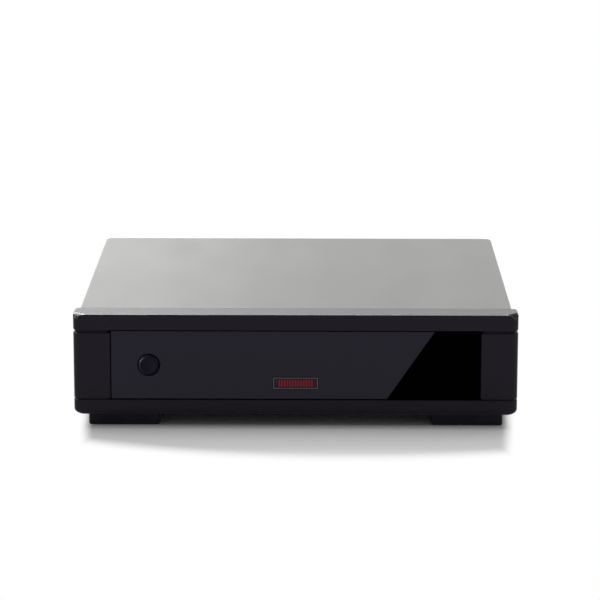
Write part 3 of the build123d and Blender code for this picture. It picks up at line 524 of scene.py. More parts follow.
class CaseSettings(bpy.types.PropertyGroup):
    """Sizes and colours of the bezel, cover, base and feet."""

    bezel_colour: colour_setting("Bezel", "the front moulding", (0.137, 0.124, 0.157))
    # Painted shade: the groove roots take a darker colour than the bezel, standing in for the shade that
    # falls in the grooves.
    painted_groove_shade: colour_setting("Groove", "the root of the grooves", (0.09, 0.076, 0.1))
    cover_colour: colour_setting("Cover", "the metal cover", (0.622, 0.621, 0.614))
    base_colour: colour_setting("Base", "the base and the back panel", (0.10, 0.10, 0.105))
    foot_colour: colour_setting("Feet", "the rubber feet", (0.11, 0.105, 0.145))
    lip_round: length_setting("Lip rounding", "Radius along the grooves of the lips", 0.35, 0.1, 1.0)
    groove_slot: length_setting("Groove slot", "Width of the slot at the root of a groove", 0.45, 0.1, 0.6)
    groove_depth: length_setting("Groove depth", "Depth of the grooves behind the face", 0.5, 0.3, 3.0)
    shoulder_drop: length_setting("Shoulder drop", "Height of the upper groove at the cheeks", 0.95, 0.2, 1.5)
    rim_round: length_setting("Rim rounding", "Radius of the top rim of the bezel", 0.35, 0.2, 1.0)
    rim_slope: length_setting("Rim slope", "Length of the slope inside the top rim", 0.65, 0.1, 1.0)
    ball_round: length_setting("Ball rounding", "Height of the ball at each top corner", 3.8, 1.0, 5.0)
    keel_round: length_setting("Keel rounding", "Radius of the bottom rim of the bezel", 2.5, 0.5, 2.6)
    keel_spread: plain_setting("Keel spread", "Width over height of the keel's end rounding", 1.7, min=1.0)
    cover_edge: length_setting("Cover edge", "Radius of the long edges of the cover", 0.6, 0.2, 1.5)


class FrontSettings(bpy.types.PropertyGroup):
    """Window, indicator and button."""

    # Painted reflection: the lighter zone of the window stands in for a softbox reflected in the black gloss;
    # the dark zone is the panel's own black.
    painted_reflection_colour: colour_setting("Window", "the smoky part of the window", (0.105, 0.095, 0.155))
    dark_colour: colour_setting("Dark zone", "the black part of the window", (0.002, 0.002, 0.003))
    button_colour: colour_setting("Button", "the power button", (0.07, 0.061, 0.104))
    bar_colour: colour_setting("Indicator bars", "the bars behind the lens", (0.55, 0.07, 0.13))
    line_colour: colour_setting("Indicator line", "the line round the lens", (0.46, 0.44, 0.47))
    zone_foot: length_setting("Zone foot", "Where the dark zone starts at the lower groove", 36.95, -70, 70)
    zone_head: length_setting("Zone head", "Where the dark zone starts at the upper groove", 56.2, -70, 70)
    button_round: length_setting("Button rounding", "Radius of the button's rim", 1.2, 0.2, 1.5)
    dish: length_setting("Button dish", "How far the middle of the button is sunk", 0.35, 0.0, 0.7)


class TerminalSettings(bpy.types.PropertyGroup):
    """Connectors on the back."""

    left_colour: colour_setting("Left insert", "the left channel's inserts", (0.87, 0.87, 0.84))
    right_colour: colour_setting("Right insert", "the right channel's inserts", (0.66, 0.05, 0.06))
    thread_pitch: length_setting("Thread pitch", "Pitch of the earth stud's thread", 0.7, 0.3, 1.5)
    thread_depth: length_setting("Thread depth", "Depth of the earth stud's thread", 0.22, 0.05, 0.4)
    knurls: bpy.props.IntProperty(
        name="Knurls", description="Grooves round the thumb nut", default=28, min=8, max=60
    )
    slits: bpy.props.IntProperty(
        name="Slits", description="Slits in each centre contact", default=4, min=2, max=6
    )


class StudioSettings(bpy.types.PropertyGroup):
    """Camera and light."""

    back_strength: plain_setting("Back", "Strength of the lamp behind", 2.3)
    top_strength: plain_setting("Top", "Strength of the lamp overhead", 0.9)
    gloss_power: plain_setting("Gloss", "Power of the lamps that only gloss shows", 11.0, unit="POWER")
    key_power: plain_setting("Button light", "Power of the small lamp on the button's cap", 8.0, unit="POWER")
    fill: plain_setting("Fill", "Strength of the even light", 0.3, min=0.0)
    lens: plain_setting("Lens", "Focal length of the camera in mm", 168.1)
    roll: plain_setting("Roll", "Turn of the camera about its own axis", 0.0012, unit="ROTATION")


class BuildStep(bpy.types.Operator):
    """A step that builds one piece or group of pieces."""

    bl_options = {"REGISTER", "UNDO"}

    def execute(self, context):
        self.build(context.scene)
        return {"FINISHED"}


# Steps

class PREAMP_OT_bezel(BuildStep):
    """Builds the front bezel: two lips, two cheeks, the window's ledge and the collar"""

    bl_idname = "preamp.bezel"
    bl_label = "Front bezel"

    def build(self, scene):
        s = scene.preamp_case
        bottom, top = BEZEL_LOW[2], BEZEL_HIGH[2]
        x1, front, back = BEZEL_HIGH[0], BEZEL_FRONT_Y, BEZEL_BACK_Y
        low, high = (BEZEL_LOW[0], front), (x1, back)
        lip, slot = s.lip_round, s.groove_slot / 2
        upper_slot = slot * 0.4
        over, under = LOWER_GROOVE - slot, UPPER_GROOVE + upper_slot
        rim = rim_profile(top, s.rim_round, s.rim_slope)
        ball = arc_back((top - s.ball_round, 0), (top, LIP_CORNER - 0.4), len(rim) - 1)
        edge, corner = (np.concatenate([lead_in(under, lip), profile]) for profile in (rim, ball))
        radii = LIP_CORNER, LIP_CORNER, BACK_CORNER, BACK_CORNER
        keel_wall = 3.4
        keel = joined(
            lead_in(bottom, s.keel_round), [(TONGUE_TOP, 0), (TONGUE_TOP, keel_wall), (bottom, keel_wall)]
        )

        def lip_path(point):
            level, inset = point
            aside = s.keel_spread * inset
            weights = s.keel_spread, s.keel_spread, 1, 1
            ring = rectangle_ring(low, high, LIP_CORNER - inset, inset, weights)
            line = [(low[0] + aside, back), *ring[: 2 * (ARC_STEPS + 1)], (x1 - aside, back)]
            return raised(np.array(line), level)

        shells = [
            crowned(low, high, radii, edge, corner),
            slab(low, high, radii, joined([(TONGUE_TOP, 0)], lead_out(over, lip)), (1, 1, 1, BACK_SHARE)),
            run_along(keel, lip_path),
        ]
        cheek = WINDOW_HIGH[0] + CHEEK_GAP
        cheek_levels = joined(
            lead_in(LOWER_GROOVE + slot, lip), lead_out(UPPER_GROOVE - s.shoulder_drop, lip)
        )
        cheek_corner, core_side_gap, core_back_gap, core_round, overlap = 0.35, 0.7, 0.6, 2.0, 0.1
        core_levels = [(over - overlap, 0), (under + overlap, 0)]
        for side, corners, weights in (
            (-1, (LIP_CORNER, cheek_corner, SHARP, BACK_CORNER), (1, 0, 1, BACK_SHARE)),
            (1, (cheek_corner, LIP_CORNER, BACK_CORNER, SHARP), (0, 1, 1, BACK_SHARE)),
        ):
            start, end = sorted((side * cheek, side * x1))
            shells.append(slab((start, front), (end, back), corners, cheek_levels, weights))
            start, end = sorted((side * (cheek - overlap), side * (x1 - core_side_gap)))
            core_front, core_back = front + s.groove_depth, back - core_back_gap
            # The cores behind the grooves take the second finish, the painted groove shade.
            shells.append((1, slab((start, core_front), (end, core_back), core_round, core_levels)))
        ledge_wall, ledge_depths = 1.5, (LEDGE_Y, LEDGE_Y + 2.0)
        shells.append(tunnel((-cheek, over), (cheek, under), ledge_wall, ledge_depths, 0.3))
        collar_wall, post_x, post_radius, post_height = 1.6, 40.0, 3.4, 5.5
        collar_back = BEZEL_HIGH[1] - post_radius
        collar_x = COVER_HIGH[0] - COVER_WALL - 2 * FIT
        shells.append(tunnel(
            (-collar_x, TONGUE_TOP), (collar_x, CEILING - FIT), collar_wall, (back, collar_back), 1.0
        ))
        for x in (-post_x, post_x):
            post = [(FLOOR_TOP, post_radius), (FLOOR_TOP + post_height, post_radius)]
            shells.append(turned(post, (x, collar_back), axis=2))
        finish = grained(
            "Satin black moulding", s.bezel_colour, 0.24, specular=0.06, depth=0.0012, gloss=0.02, **SATIN
        )
        # Painted shade: a darker finish for the groove cores, where the grooves fall in shade.
        shade = grained("Groove shade", s.painted_groove_shade, 0.4, specular=0.2, tint=0.3, depth=0.001, **SATIN)
        place("bezel", shells, [finish, shade], ["front_bezel"])


class PREAMP_OT_window(BuildStep):
    """Builds the window: one plate with two zones, the lighter one a painted reflection, and holes for the
    button and the indicator
    """

    bl_idname = "preamp.window"
    bl_label = "Window"

    def build(self, scene):
        s = scene.preamp_front
        (left, front, foot), (right, back, head) = WINDOW_LOW, WINDOW_HIGH
        slope = (s.zone_head - s.zone_foot) / (head - foot)
        edge_round, hole_radius, lens_lap, lens_round = 0.22, 4.5, 0.9, 0.7

        def slant(z, inset):
            return s.zone_foot + slope * (z - foot)

        def zone(start, end):
            """A zone's outline as a function of the inset, from those of its two sides"""
            def outline(inset):
                low, high = foot + inset, head - inset
                return np.array([
                    (start(low, inset), low), (end(low, inset), low),
                    (end(high, inset), high), (start(high, inset), high),
                ])
            return outline

        def button_hole(inset):
            return round_axis((BUTTON_X, MIDDLE_Z), full_turn(72), hole_radius + inset)[:, [0, 2]]

        def lens_hole(inset):
            low, high = LENS_LOW[[0, 2]] + lens_lap, LENS_HIGH[[0, 2]] - lens_lap
            return rectangle_ring(low, high, lens_round + inset, -inset)

        levels = joined(lead_in(front, edge_round, 4), [(back, 0)])
        # The zone left of the slant carries the painted reflection, the zone right of it the plain black.
        painted_reflection_zone = zone(lambda z, inset: left + inset, slant)
        dark_zone = zone(slant, lambda z, inset: right - inset)
        shells = [
            pierced_plate([painted_reflection_zone, button_hole, lens_hole], levels),
            (1, stack([raised(dark_zone(inset), level, 1) for level, inset in levels])),
        ]
        # Painted reflection: a lighter grey finish for the zone left of the slant, in place of a reflection
        # in the gloss.
        painted_reflection = grained(
            "Gloss panel with painted reflection", s.painted_reflection_colour, 0.11, specular=0.35, tint=0.43, tone=0.03, **GLOSSY
        )
        dark = grained("Black gloss panel", s.dark_colour, 0.08, specular=0.01, tint=0.3, tone=0.1, **GLOSSY)
        place("window", shells, [painted_reflection, dark], ["front_window"], smooth=50.0)


class PREAMP_OT_front_controls(BuildStep):
    """Builds the dished power button and the marked indicator lens"""

    bl_idname = "preamp.front_controls"
    bl_label = "Button and indicator"

    def build(self, scene):
        s = scene.preamp_front
        face, back = BUTTON_LOW[1], BUTTON_HIGH[1]
        rounding, radius, flange_radius, flange_y = s.button_round, 4.2, 5.3, back - 1.2
        share = np.linspace(0.005, 1, 12)
        dish = np.stack([face + s.dish * (1 - share ** 2), (radius - rounding) * share], -1)
        shoulder = arc((face, radius - rounding), (face + rounding, radius), 8)
        flange = [(flange_y, radius), (flange_y, flange_radius), (back, flange_radius), (back, SHARP)]
        finish = grained(
            "Satin black button", s.button_colour, 0.3, specular=0.06, tint=0.8, depth=0.001, **SATIN
        )
        cap = turned(joined(dish, shoulder, flange), (BUTTON_X, MIDDLE_Z), steps=96)
        place("button", [cap], finish, ["power_button"], "power_button")

        (left, front, bottom), (right, back, top) = LENS_LOW, LENS_HIGH
        lap, plate_y = 1.0, back - 0.8
        half_w, half_h = (right - left) / 2 - lap, (top - bottom) / 2 - lap
        z = (bottom + top) / 2
        levels = joined(lead_in(front, 0.1, 4), [(plate_y, 0)])
        lens = slab((-half_w, z - half_h), (half_w, z + half_h), 0.6, levels, axis=1)
        back_plate = slab((left, bottom), (right, top), 1.6, [(plate_y, 0), (back, 0)], axis=1)
        glass = marked_lens(
            "Marked indicator lens", (0.16, 0.09, 0.13), s.line_colour, s.bar_colour, half_w, half_h, z
        )
        place("indicator", [lens, back_plate], glass, ["indicator_lens"])


class PREAMP_OT_cover(BuildStep):
    """Builds the metal cover: the roof, two walls that turn the rear corners, and the bar over the back"""

    bl_idname = "preamp.cover"
    bl_label = "Top cover"

    def build(self, scene):
        s = scene.preamp_case
        x1, rear, top = COVER_HIGH
        low, wall, corner, wrap, bar = LOWER_GROOVE, COVER_WALL, COVER_CORNER, 8.0, 2.0
        roof_levels = joined([(CEILING, 0)], lead_out(top, s.cover_edge, 6))
        shells = [slab(
            (-x1, SEAM_Y), (x1, rear), (SHARP, SHARP, corner, corner), roof_levels, (1, 1, 0.1, 1)
        )]
        section = joined(lead_in(low, 0.3, 4), [(CEILING, 0), (CEILING, wall), (low, wall)])

        def wall_path(point):
            level, inset = point
            turn = (corner - inset) * np.stack([np.cos(QUARTER), np.sin(QUARTER)], -1)
            turn += (x1 - corner, rear - corner)
            return raised(np.concatenate([[(x1 - inset, SEAM_Y)], turn, [(x1 - wrap, rear - inset)]]), level)

        for side in (-1, 1):
            shells.append(run_along(section, lambda point: wall_path(point) * (side, 1, 1)))
        bar_levels = [(CEILING - bar, 0), (CEILING, 0)]
        shells.append(slab((-x1 + wrap, rear - wall), (x1 - wrap, rear), SHARP, bar_levels))
        post_x, post_radius, from_end = 79.0, 3.5, 31.0
        for x in (-post_x, post_x):
            for y in (BEZEL_FRONT_Y + from_end, rear - from_end):
                shells.append(turned([(FLOOR_TOP, post_radius), (CEILING, post_radius)], (x, y), axis=2))
        finish = grained(
            "Satin grey cover", s.cover_colour, 0.25, metallic=1.0, tint=0.5, tone=0.01, patch=14.0,
            grain=5200.0, depth=0.0015, gloss=0.015, stretch=(1.0, 0.35, 1.0),
        )
        place("cover", shells, finish, ["top_cover"])


class PREAMP_OT_base(BuildStep):
    """Finishes the base and the back panel and builds the four feet"""

    bl_idname = "preamp.base"
    bl_label = "Base and feet"

    def build(self, scene):
        s = scene.preamp_case
        paint = grained(
            "Fine black powder coat", s.base_colour, 0.5, specular=0.35, tone=0.08, grain=1500.0, depth=0.03
        )
        smooth_copy("base_tray", paint)
        smooth_copy("rear_panel", paint)
        rubber = grained(
            "Matt foot rubber", s.foot_colour, 0.75, specular=0.25, tone=0.1, grain=1100.0, depth=0.03
        )
        sole_round, corner = 0.8, 1.0
        for end in ("front", "rear"):
            for side in ("left", "right"):
                node = f"foot_{end}_{side}"
                low, high = node_box(node)
                pad = slab(low[:2], high[:2], corner, joined(lead_in(low[2], sole_round, 6), [(high[2], 0)]))
                place(node + "_pad", [pad], rubber, [node])


class PREAMP_OT_sockets(BuildStep):
    """Builds the phono sockets: blocks, plated shells, coloured inserts and slit contacts"""

    bl_idname = "preamp.sockets"
    bl_label = "Phono sockets"

    def build(self, scene):
        s = scene.preamp_terminals
        moulding = grained("Black socket moulding", (0.13, 0.13, 0.135), 0.42, tone=0.08, grain=1800.0)
        nickel = grained("Bright nickel", (0.86, 0.85, 0.82), 0.14, tone=0.03, **PLATED)
        gold = grained("Thin gold plating", (0.93, 0.76, 0.42), 0.2, tone=0.04, **PLATED)
        steel = grained("Blackened screw", (0.2, 0.2, 0.205), 0.38, metallic=0.6, tone=0.1, grain=2400.0)
        bore, outside, edge, floor = 2.05, 3.45, 0.3, 0.6
        for side, colour, shade in (("left", s.left_colour, "white"), ("right", s.right_colour, "red")):
            node = f"{side}_socket_inserts"
            start, face = ends(node)
            profile = joined(
                [(start, SHARP), (start + floor, SHARP), (start + floor, bore)],
                arc_back((face - edge, bore), (face, bore + edge), 5),
                arc((face, outside - edge), (face - edge, outside), 5),
                [(start, outside)],
            )
            shells = [
                turned(profile, middle(f"{name}_{side}_shell"), steps=64, closed=True)
                for name in ("input", "output")
            ]
            plastic = grained(f"Insert {side}", colour, 0.38, tone=0.03, grain=1800.0, depth=0.006)
            place(f"{side}_inserts", shells, plastic, [node])
        for name in ("input", "output"):
            smooth_copy(f"{name}_socket_block", moulding)
            for side in ("left", "right"):
                node = f"{name}_{side}_shell"
                sleeve = turned(sleeve_profile(*ends(node)), middle(node), steps=96, closed=True)
                place(f"{name}_{side}_sleeve", [sleeve], nickel, [node])
            node = f"{name}_socket_contacts"
            shells = []
            for side in ("left", "right"):
                shells += slit_contact(middle(f"{name}_{side}_shell"), *ends(node), s.slits)
            place(f"{name}_contacts", shells, gold, [node])
        smooth_copy("socket_screws", steel)


def sleeve_profile(start, end):
    """A socket's sleeve: a neck inside the block, a shoulder, a fine turned ring and a rounded mouth."""
    inner, neck, outer, ring = 3.5, 3.85, 4.15, 4.08
    shoulder = end - 8.0
    return joined(
        [(start, inner), (start, neck), (shoulder, neck), (shoulder, outer - 0.05), (shoulder + 0.05, outer)],
        [(shoulder + 0.9, outer), (shoulder + 1.0, ring), (shoulder + 1.2, ring), (shoulder + 1.3, outer)],
        arc_back((end - 0.25, outer), (end, outer - 0.25), 5),
        arc((end, inner + 0.18), (end - 0.18, inner), 5),
    )


def slit_contact(centre, start, end, slits):
    """A round spring contact: a ring at its root, and leaves that run from it to a rounded mouth.

    A leaf's section is a closed loop of an outer arc at one radius and an inner arc at the other, and it
    is carried along the axis, drawn in a little towards the mouth.
    """
    inner, outer, root_length, mouth, half_slit = 1.62, 2.0, 2.2, 0.35, 0.13
    root = start + root_length
    ring = [(start, inner), (start, outer - 0.05), (start + 0.1, outer), (root, outer), (root, inner)]
    shells = [turned(ring, centre, closed=True)]
    places = joined([(root, 0.0), (end - mouth, 0.0)], arc_back((end - mouth, 0.0), (end, 0.14), 5))
    run = np.linspace(-1, 1, 11)
    outside = np.repeat([True, False], len(run))
    radii = np.where(outside, outer - places[:, 1:], inner)
    for slit in range(slits):
        angle = 2 * np.pi * (slit + 0.5) / slits + run * (np.pi / slits - half_slit)
        shells.append(stack(round_axis(centre, np.r_[angle, angle[::-1]], radii, places[:, :1])))
    return shells


class PREAMP_OT_inlet(BuildStep):
    """Builds the power inlet: body, centre pin and leaf contact"""

    bl_idname = "preamp.inlet"
    bl_label = "Power inlet"

    def build(self, scene):
        moulding = grained("Inlet moulding", (0.12, 0.12, 0.125), 0.36, tone=0.06, grain=1800.0)
        nickel = grained("Pin nickel", (0.84, 0.83, 0.8), 0.2, tone=0.04, **PLATED)
        spring = grained("Contact spring", (0.9, 0.75, 0.45), 0.24, metallic=1.0, tone=0.04, depth=0.002)
        smooth_copy("power_jack_body", moulding)
        smooth_copy("power_jack_contact", spring)
        node = "power_jack_pin"
        start, tip = ends(node)
        radius, nose_length, nose_end = 1.05, 0.7, 0.05
        profile = joined([(start, radius)], arc_back((tip - nose_length, radius), (tip, nose_end), 8))
        place("inlet_pin", [turned(profile, middle(node), steps=40)], nickel, [node])


class PREAMP_OT_earth_terminal(BuildStep):
    """Builds the earth terminal: threaded stud with its collar, washer and knurled thumb nut"""

    bl_idname = "preamp.earth_terminal"
    bl_label = "Earth terminal"

    def build(self, scene):
        s = scene.preamp_terminals
        brass = grained(
            "Gold plated brass", (0.9, 0.74, 0.42), 0.22, metallic=1.0, tone=0.05, grain=1800.0, depth=0.004
        )
        tin = grained("Tinned brass", (0.78, 0.78, 0.76), 0.32, metallic=1.0, tone=0.06, grain=1800.0)
        centre = middle("earth_thumb_nut")
        stud_radius, root, flange, edge = 2.0, 1.7, 4.4, 0.3
        panel = ends("rear_panel")[1]
        collar = panel + 1.5
        collar_profile = joined(
            [(panel, root), (panel, flange - 0.2)],
            arc_back((collar - edge, flange), (collar, flange - edge), 5), [(collar, root)],
        )
        place("threaded_stud", [
            thread(centre, *ends("earth_stud"), stud_radius, s.thread_pitch, s.thread_depth),
            turned(collar_profile, centre, steps=72, closed=True),
        ], brass, ["earth_stud"])
        low, high = ends("earth_washer")
        bore, radius, edge = 2.05, 4.3, 0.2
        washer = joined(
            [(low, bore)], arc((low, radius - edge), (low + edge, radius), 4),
            arc_back((high - edge, radius), (high, radius - edge), 4), [(high, bore)],
        )
        washer = turned(washer, centre, steps=72, closed=True)
        place("plated_washer", [washer], brass, ["earth_washer"], "earth_washer")
        nut = knurled(centre, *ends("earth_thumb_nut"), 4.6, bore, s.knurls)
        place("thumb_nut", [nut], brass, ["earth_thumb_nut"], "earth_nut", smooth=50.0)
        smooth_copy("earth_solder_tag", tin)
        smooth_copy("earth_lock_nut", tin)


def thread(centre, start, end, radius, pitch, depth):
    """A screw thread: the radius at a place on the axis and an angle is the outer radius less the depth
    times a wave that rises and falls once a pitch and moves one pitch along in each turn. Both ends
    taper to the root."""
    taper_length, taper_depth = 0.5, 0.35
    along = np.linspace(start, end, int((end - start) / pitch * 10))[:, None]
    angle = full_turn(40)
    phase = (along / pitch - angle / (2 * np.pi)) % 1.0
    wave = np.clip(np.abs(2 * phase - 1) * 1.5 - 0.25, 0, 1)
    taper = np.clip(1 - np.minimum(along - start, end - along) / taper_length, 0, 1)
    return stack(round_axis(centre, angle, radius - depth * wave - taper_depth * taper, along))


def knurled(centre, start, end, radius, bore, count):
    """A knurled ring: the outer radius falls by a rounded groove count times a turn, in full between the
    two chamfered ends and not at all on them, and the profile closes through the plain bore."""
    chamfer, groove_depth = 0.5, 0.28
    profile = joined(
        [(start, bore)],
        arc((start, radius - chamfer), (start + chamfer, radius), 5),
        arc_back((end - chamfer, radius), (end, radius - chamfer), 5),
        [(end, bore + 1.1), (end - 0.25, bore + 0.9), (end - 0.25, bore + 0.25), (end - 0.45, bore)],
    )
    along, radii = profile[:, :1], profile[:, 1:]
    angle = full_turn(count * 8)
    groove = np.clip(np.cos(count * angle), 0, 1) ** 1.5
    share = np.clip((radii - (radius - chamfer)) / chamfer, 0, 1)
    return stack(round_axis(centre, angle, radii - groove_depth * share * groove, along), around=True)


class PREAMP_OT_inside(BuildStep):
    """Gives the boards, their parts and the other inner pieces their finishes"""

    bl_idname = "preamp.inside"
    bl_label = "Inner parts"

    def build(self, scene):
        finishes = {}

        def finish(slot, *values, **more):
            finishes[slot] = grained(*values, **more)

        finish("gasket_foam", "Closed foam", (0.14, 0.14, 0.145), 0.9, specular=0.2, grain=900.0, depth=0.06)
        finish("plunger_white", "Ivory moulding", (0.88, 0.87, 0.84), 0.4, tone=0.03)
        finish("moulding_black", "Small black moulding", (0.12, 0.12, 0.125), 0.4, tone=0.08, grain=1800.0)
        finish("screw_black", "Black screw", (0.2, 0.2, 0.205), 0.38, metallic=0.6, tone=0.1)
        finish("screw_steel", "Zinc plated steel", (0.74, 0.74, 0.75), 0.32, metallic=1.0, tone=0.05)
        finish("lead_green", "Green wire sleeve", (0.12, 0.52, 0.2), 0.45, tone=0.05)
        finish("board_green", "Solder resist", (0.08, 0.36, 0.17), 0.3, tone=0.12, patch=180.0, grain=900.0)
        finish("standoff_brass", "Turned brass", (0.86, 0.74, 0.46), 0.28, metallic=1.0, tone=0.05)
        finish("led_red", "Clear red resin", (0.72, 0.06, 0.07), 0.12, tone=0.04, depth=0.001)
        finish("can_black", "Black can sleeve", (0.13, 0.13, 0.15), 0.3, depth=0.004)
        finish("can_blue", "Blue can sleeve", (0.14, 0.22, 0.5), 0.3, depth=0.004)
        finish("film_red", "Dipped red film", (0.66, 0.16, 0.1), 0.22, tone=0.08, grain=500.0, depth=0.03)
        finish("resistor_blue", "Pale blue lacquer", (0.5, 0.68, 0.78), 0.34, tone=0.07, patch=260.0)
        finish("sink_black", "Black anodising", (0.14, 0.14, 0.15), 0.42, metallic=0.5)
        finish("tag_tin", "Tin plate", (0.78, 0.78, 0.76), 0.34, metallic=1.0, tone=0.05)
        for part in frame["record"]["subparts"]:
            node = frame["nodes"][part["node"]]
            if not node.hide_render:
                node.data.materials.clear()
                node.data.materials.append(finishes[part["material_slot"]])


class PREAMP_OT_studio(BuildStep):
    """Sets the floor, the pale surroundings, the soft lamps and the camera"""

    bl_idname = "preamp.studio"
    bl_label = "Studio"

    def build(self, scene):
        s = scene.preamp_studio
        scene.view_settings.view_transform = "Standard"
        mesh = bpy.data.meshes.new("floor")
        size = 6.0
        corners = [(x * size, y * size, 0) for x, y in ((-1, -1), (1, -1), (1, 1), (-1, 1))]
        mesh.from_pydata(corners, [], [(0, 1, 2, 3)])
        floor = bpy.data.objects.new("floor", mesh)
        scene.collection.objects.link(floor)
        mesh.materials.append(floor_finish())
        pale_surroundings(scene, s.fill)
        origin, behind, corner = (0, 0, 0), (-0.12, 1.0, 1.0), (-0.07, -0.08, 0.04)
        cap = BUTTON_X * METRE, BUTTON_LOW[1] * METRE, MIDDLE_Z * METRE
        wide, wider = math.radians(32), math.radians(40)
        power = s.gloss_power
        button = collection_of("Button cap", ["button"])
        front = collection_of("Front mouldings", ["bezel", "window", "button", "indicator"])
        # Each row: kind, name, place, aim, size, strength, what alone it lights, seen in gloss, lights matt.
        lamps = (
            ("SUN", "back", behind, origin, wide, s.back_strength, None, False, True),
            ("SUN", "top", (-0.05, 0.15, 1.0), origin, wider, s.top_strength, None, False, True),
            ("AREA", "key", (-0.62, -0.19, 0.26), cap, 0.3, s.key_power, button, True, True),
            ("SUN", "rim", behind, origin, wide, s.back_strength * 2.5, front, True, False),
            ("AREA", "corner", (-0.30, 0.18, 0.50), corner, 0.42, power, front, True, False),
            ("AREA", "left", (-0.62, -0.16, 0.42), corner, 0.36, power * 0.5, front, True, False),
            ("AREA", "right", (0.62, -0.16, 0.42), corner, 0.36, power * 0.22, front, True, False),
        )
        for values in lamps:
            lamp(scene, *values)
        pitch, yaw, distance = math.radians(12.51), -0.0069, 1.1268
        forward = Vector((
            math.sin(yaw) * math.cos(pitch), math.cos(yaw) * math.cos(pitch), -math.sin(pitch)
        ))
        target = Vector((0.00177, BEZEL_FRONT_Y * METRE, 0.05367))
        camera = bpy.data.objects.new("camera", bpy.data.cameras.new("camera"))
        camera.data.lens = s.lens
        camera.data.sensor_width = 36.0
        camera.data.clip_end = 50.0
        camera.location = target - forward * distance
        camera.rotation_euler = forward.to_track_quat("-Z", "Y").to_euler()
        camera.rotation_euler.rotate_axis("Z", s.roll)
        scene.collection.objects.link(camera)
        scene.camera = camera


def collection_of(name, pieces):
    """A collection that only says which pieces a lamp lights."""
    collection = bpy.data.collections.new(name)
    for piece in pieces:
        collection.objects.link(bpy.data.objects[piece])
    return collection


def lamp(scene, kind, name, place_at, aim, size, strength, lit, glossy, matt):
    """A soft lamp at one place, turned to face another. Its size is an edge, or a sun's angle."""
    light = bpy.data.lights.new(name + "_lamp", kind)
    setattr(light, "angle" if kind == "SUN" else "size", size)
    light.energy = strength
    item = bpy.data.objects.new(name + "_lamp", light)
    item.location = place_at
    item.rotation_euler = (Vector(aim) - Vector(place_at)).to_track_quat("-Z", "Y").to_euler()
    item.visible_camera = False
    item.visible_glossy = glossy
    item.visible_diffuse = matt
    scene.collection.objects.link(item)
    if lit:
        item.light_linking.receiver_collection = lit


def seen_directly(tree):
    """One for rays from the camera and for those that pass the background on to it through glass, else zero.
    """
    ray = add(tree, "ShaderNodeLightPath", {})
    return ray, calculated(tree, "MAXIMUM", ray.outputs["Is Camera Ray"], ray.outputs["Is Transmission Ray"])


def floor_finish():
    """A pale floor with painted light: it turns plain white past the object's sides and past its short shadow
    in front.

    To the sides it turns white past a half width that grows a little towards the back. The shadow's end is
    a parabola: minus y, plus a factor times the squared distance from a middle x. In front of the feet
    painted light lifts the floor's shadow a little.
    """
    middle_x, widening, side_start, side_end = 0.0006, -0.08, 0.0885, 0.0955
    bend_x, bend, shadow_start, shadow_end = 0.02, 2.2, 0.1145, 0.134
    lift_start, lift_end, painted_lift = -0.079, -0.0745, 0.08
    material, tree, shader = new_finish("Pale floor", 0.7, specular=0.0)
    shader.inputs["Base Color"].default_value = (0.95, 0.95, 0.95, 1)
    result = partial(calculated, tree)
    x, y, _ = axes(tree)
    off_middle = result("ABSOLUTE", result("SUBTRACT", x, middle_x))
    reach = result("ADD", off_middle, result("MULTIPLY", y, widening))
    aside = ranged(tree, reach, side_start, side_end, 0.0, 1.0)
    off_bend = result("SUBTRACT", x, bend_x)
    parabola = result("MULTIPLY", result("MULTIPLY", off_bend, off_bend), bend)
    ahead = ranged(tree, result("SUBTRACT", parabola, y), shadow_start, shadow_end, 0.0, 1.0)
    # Painted light: the lift brightens the floor's shadow just in front of the feet.
    ahead = result("MAXIMUM", ahead, ranged(tree, y, lift_start, lift_end, painted_lift, 0.0))
    ray, seen = seen_directly(tree)
    seen = result("MAXIMUM", seen, ray.outputs["Is Glossy Ray"])
    share = result("MULTIPLY", result("MAXIMUM", aside, ahead), seen)
    # Painted light: a white glow, seen by camera and gloss rays, covers the floor's shadow past the sides and
    # past the front.
    white = add(tree, "ShaderNodeEmission", {"Strength": 1.0}).outputs[0]
    mix = add(tree, "ShaderNodeMixShader", {0: share, 1: shader.outputs[0], 2: white})
    tree.links.new(mix.outputs[0], tree.nodes["Material Output"].inputs["Surface"])
    return material


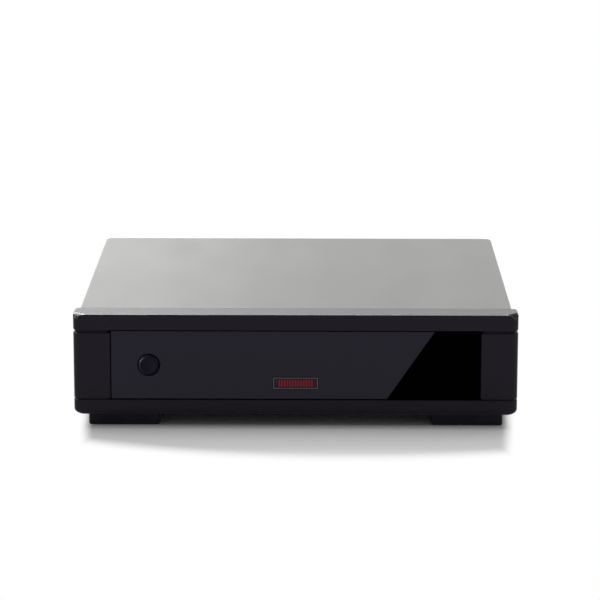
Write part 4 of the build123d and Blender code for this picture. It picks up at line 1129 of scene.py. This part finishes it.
def pale_surroundings(scene, fill):
    """White all round for the camera and an even fill for diffuse light. For gloss there is a white wall
    behind, darker towards the front and overhead, with a glow low on its left: each is a product of eased
    runs over the x, y and z of the direction."""
    world = bpy.data.worlds.new("Pale surroundings")
    world.use_nodes = True
    scene.world = world
    tree = world.node_tree
    base = tree.nodes["Background"]
    base.inputs["Color"].default_value = (1, 1, 1, 1)
    result = partial(calculated, tree)
    x, y, z = axes(tree, "Generated")
    run = partial(ranged, tree)
    glow = result("MULTIPLY", run(x, -0.097, 0.02, 1.0, 0.0), run(x, -0.42, -0.25, 0.0, 1.0))
    glow = result("MULTIPLY", glow, run(z, -0.196, 0.474, 3.09, 0.0))
    band = result("ADD", run(z, 0.178, 0.428, 2.1, 0.575), glow)
    wall = result("MULTIPLY", run(y, -0.35, 0.45, 0.0, 0.88), band)
    wall = result("ADD", wall, run(y, -0.35, 0.45, 0.45, 0.12))
    ray, seen = seen_directly(tree)
    glossy = add(tree, "ShaderNodeMix", {0: ray.outputs["Is Glossy Ray"], 2: fill, 3: wall}).outputs[0]
    strength = add(tree, "ShaderNodeMix", {0: seen, 2: glossy, 3: 1.0}).outputs[0]
    tree.links.new(strength, base.inputs["Strength"])


STEPS = (
    PREAMP_OT_bezel, PREAMP_OT_window, PREAMP_OT_front_controls, PREAMP_OT_cover, PREAMP_OT_base,
    PREAMP_OT_sockets, PREAMP_OT_inlet, PREAMP_OT_earth_terminal, PREAMP_OT_inside, PREAMP_OT_studio,
)
SETTINGS = {
    "preamp_case": CaseSettings,
    "preamp_front": FrontSettings,
    "preamp_terminals": TerminalSettings,
    "preamp_studio": StudioSettings,
}


class PREAMP_PT_panel(bpy.types.Panel):
    """Lists the settings and the steps in the sidebar"""

    bl_label = "Phono preamplifier"
    bl_space_type = "VIEW_3D"
    bl_region_type = "UI"
    bl_category = "Preamp"

    def draw(self, context):
        for group, kind in SETTINGS.items():
            column = self.layout.column(align=True)
            for key in kind.__annotations__:
                column.prop(getattr(context.scene, group), key)
        for step in STEPS:
            self.layout.operator(step.bl_idname)


CLASSES = tuple(SETTINGS.values()) + STEPS + (PREAMP_PT_panel,)


def register():
    for item in CLASSES:
        bpy.utils.register_class(item)
    for group, kind in SETTINGS.items():
        setattr(bpy.types.Scene, group, bpy.props.PointerProperty(type=kind))


def unregister():
    for group in SETTINGS:
        delattr(bpy.types.Scene, group)
    for item in reversed(CLASSES):
        bpy.utils.unregister_class(item)


def main():
    """Builds the whole object."""
    register()
    for step in STEPS:
        group, name = step.bl_idname.split(".")
        getattr(getattr(bpy.ops, group), name)()


if __name__ == "__main__":
    main()
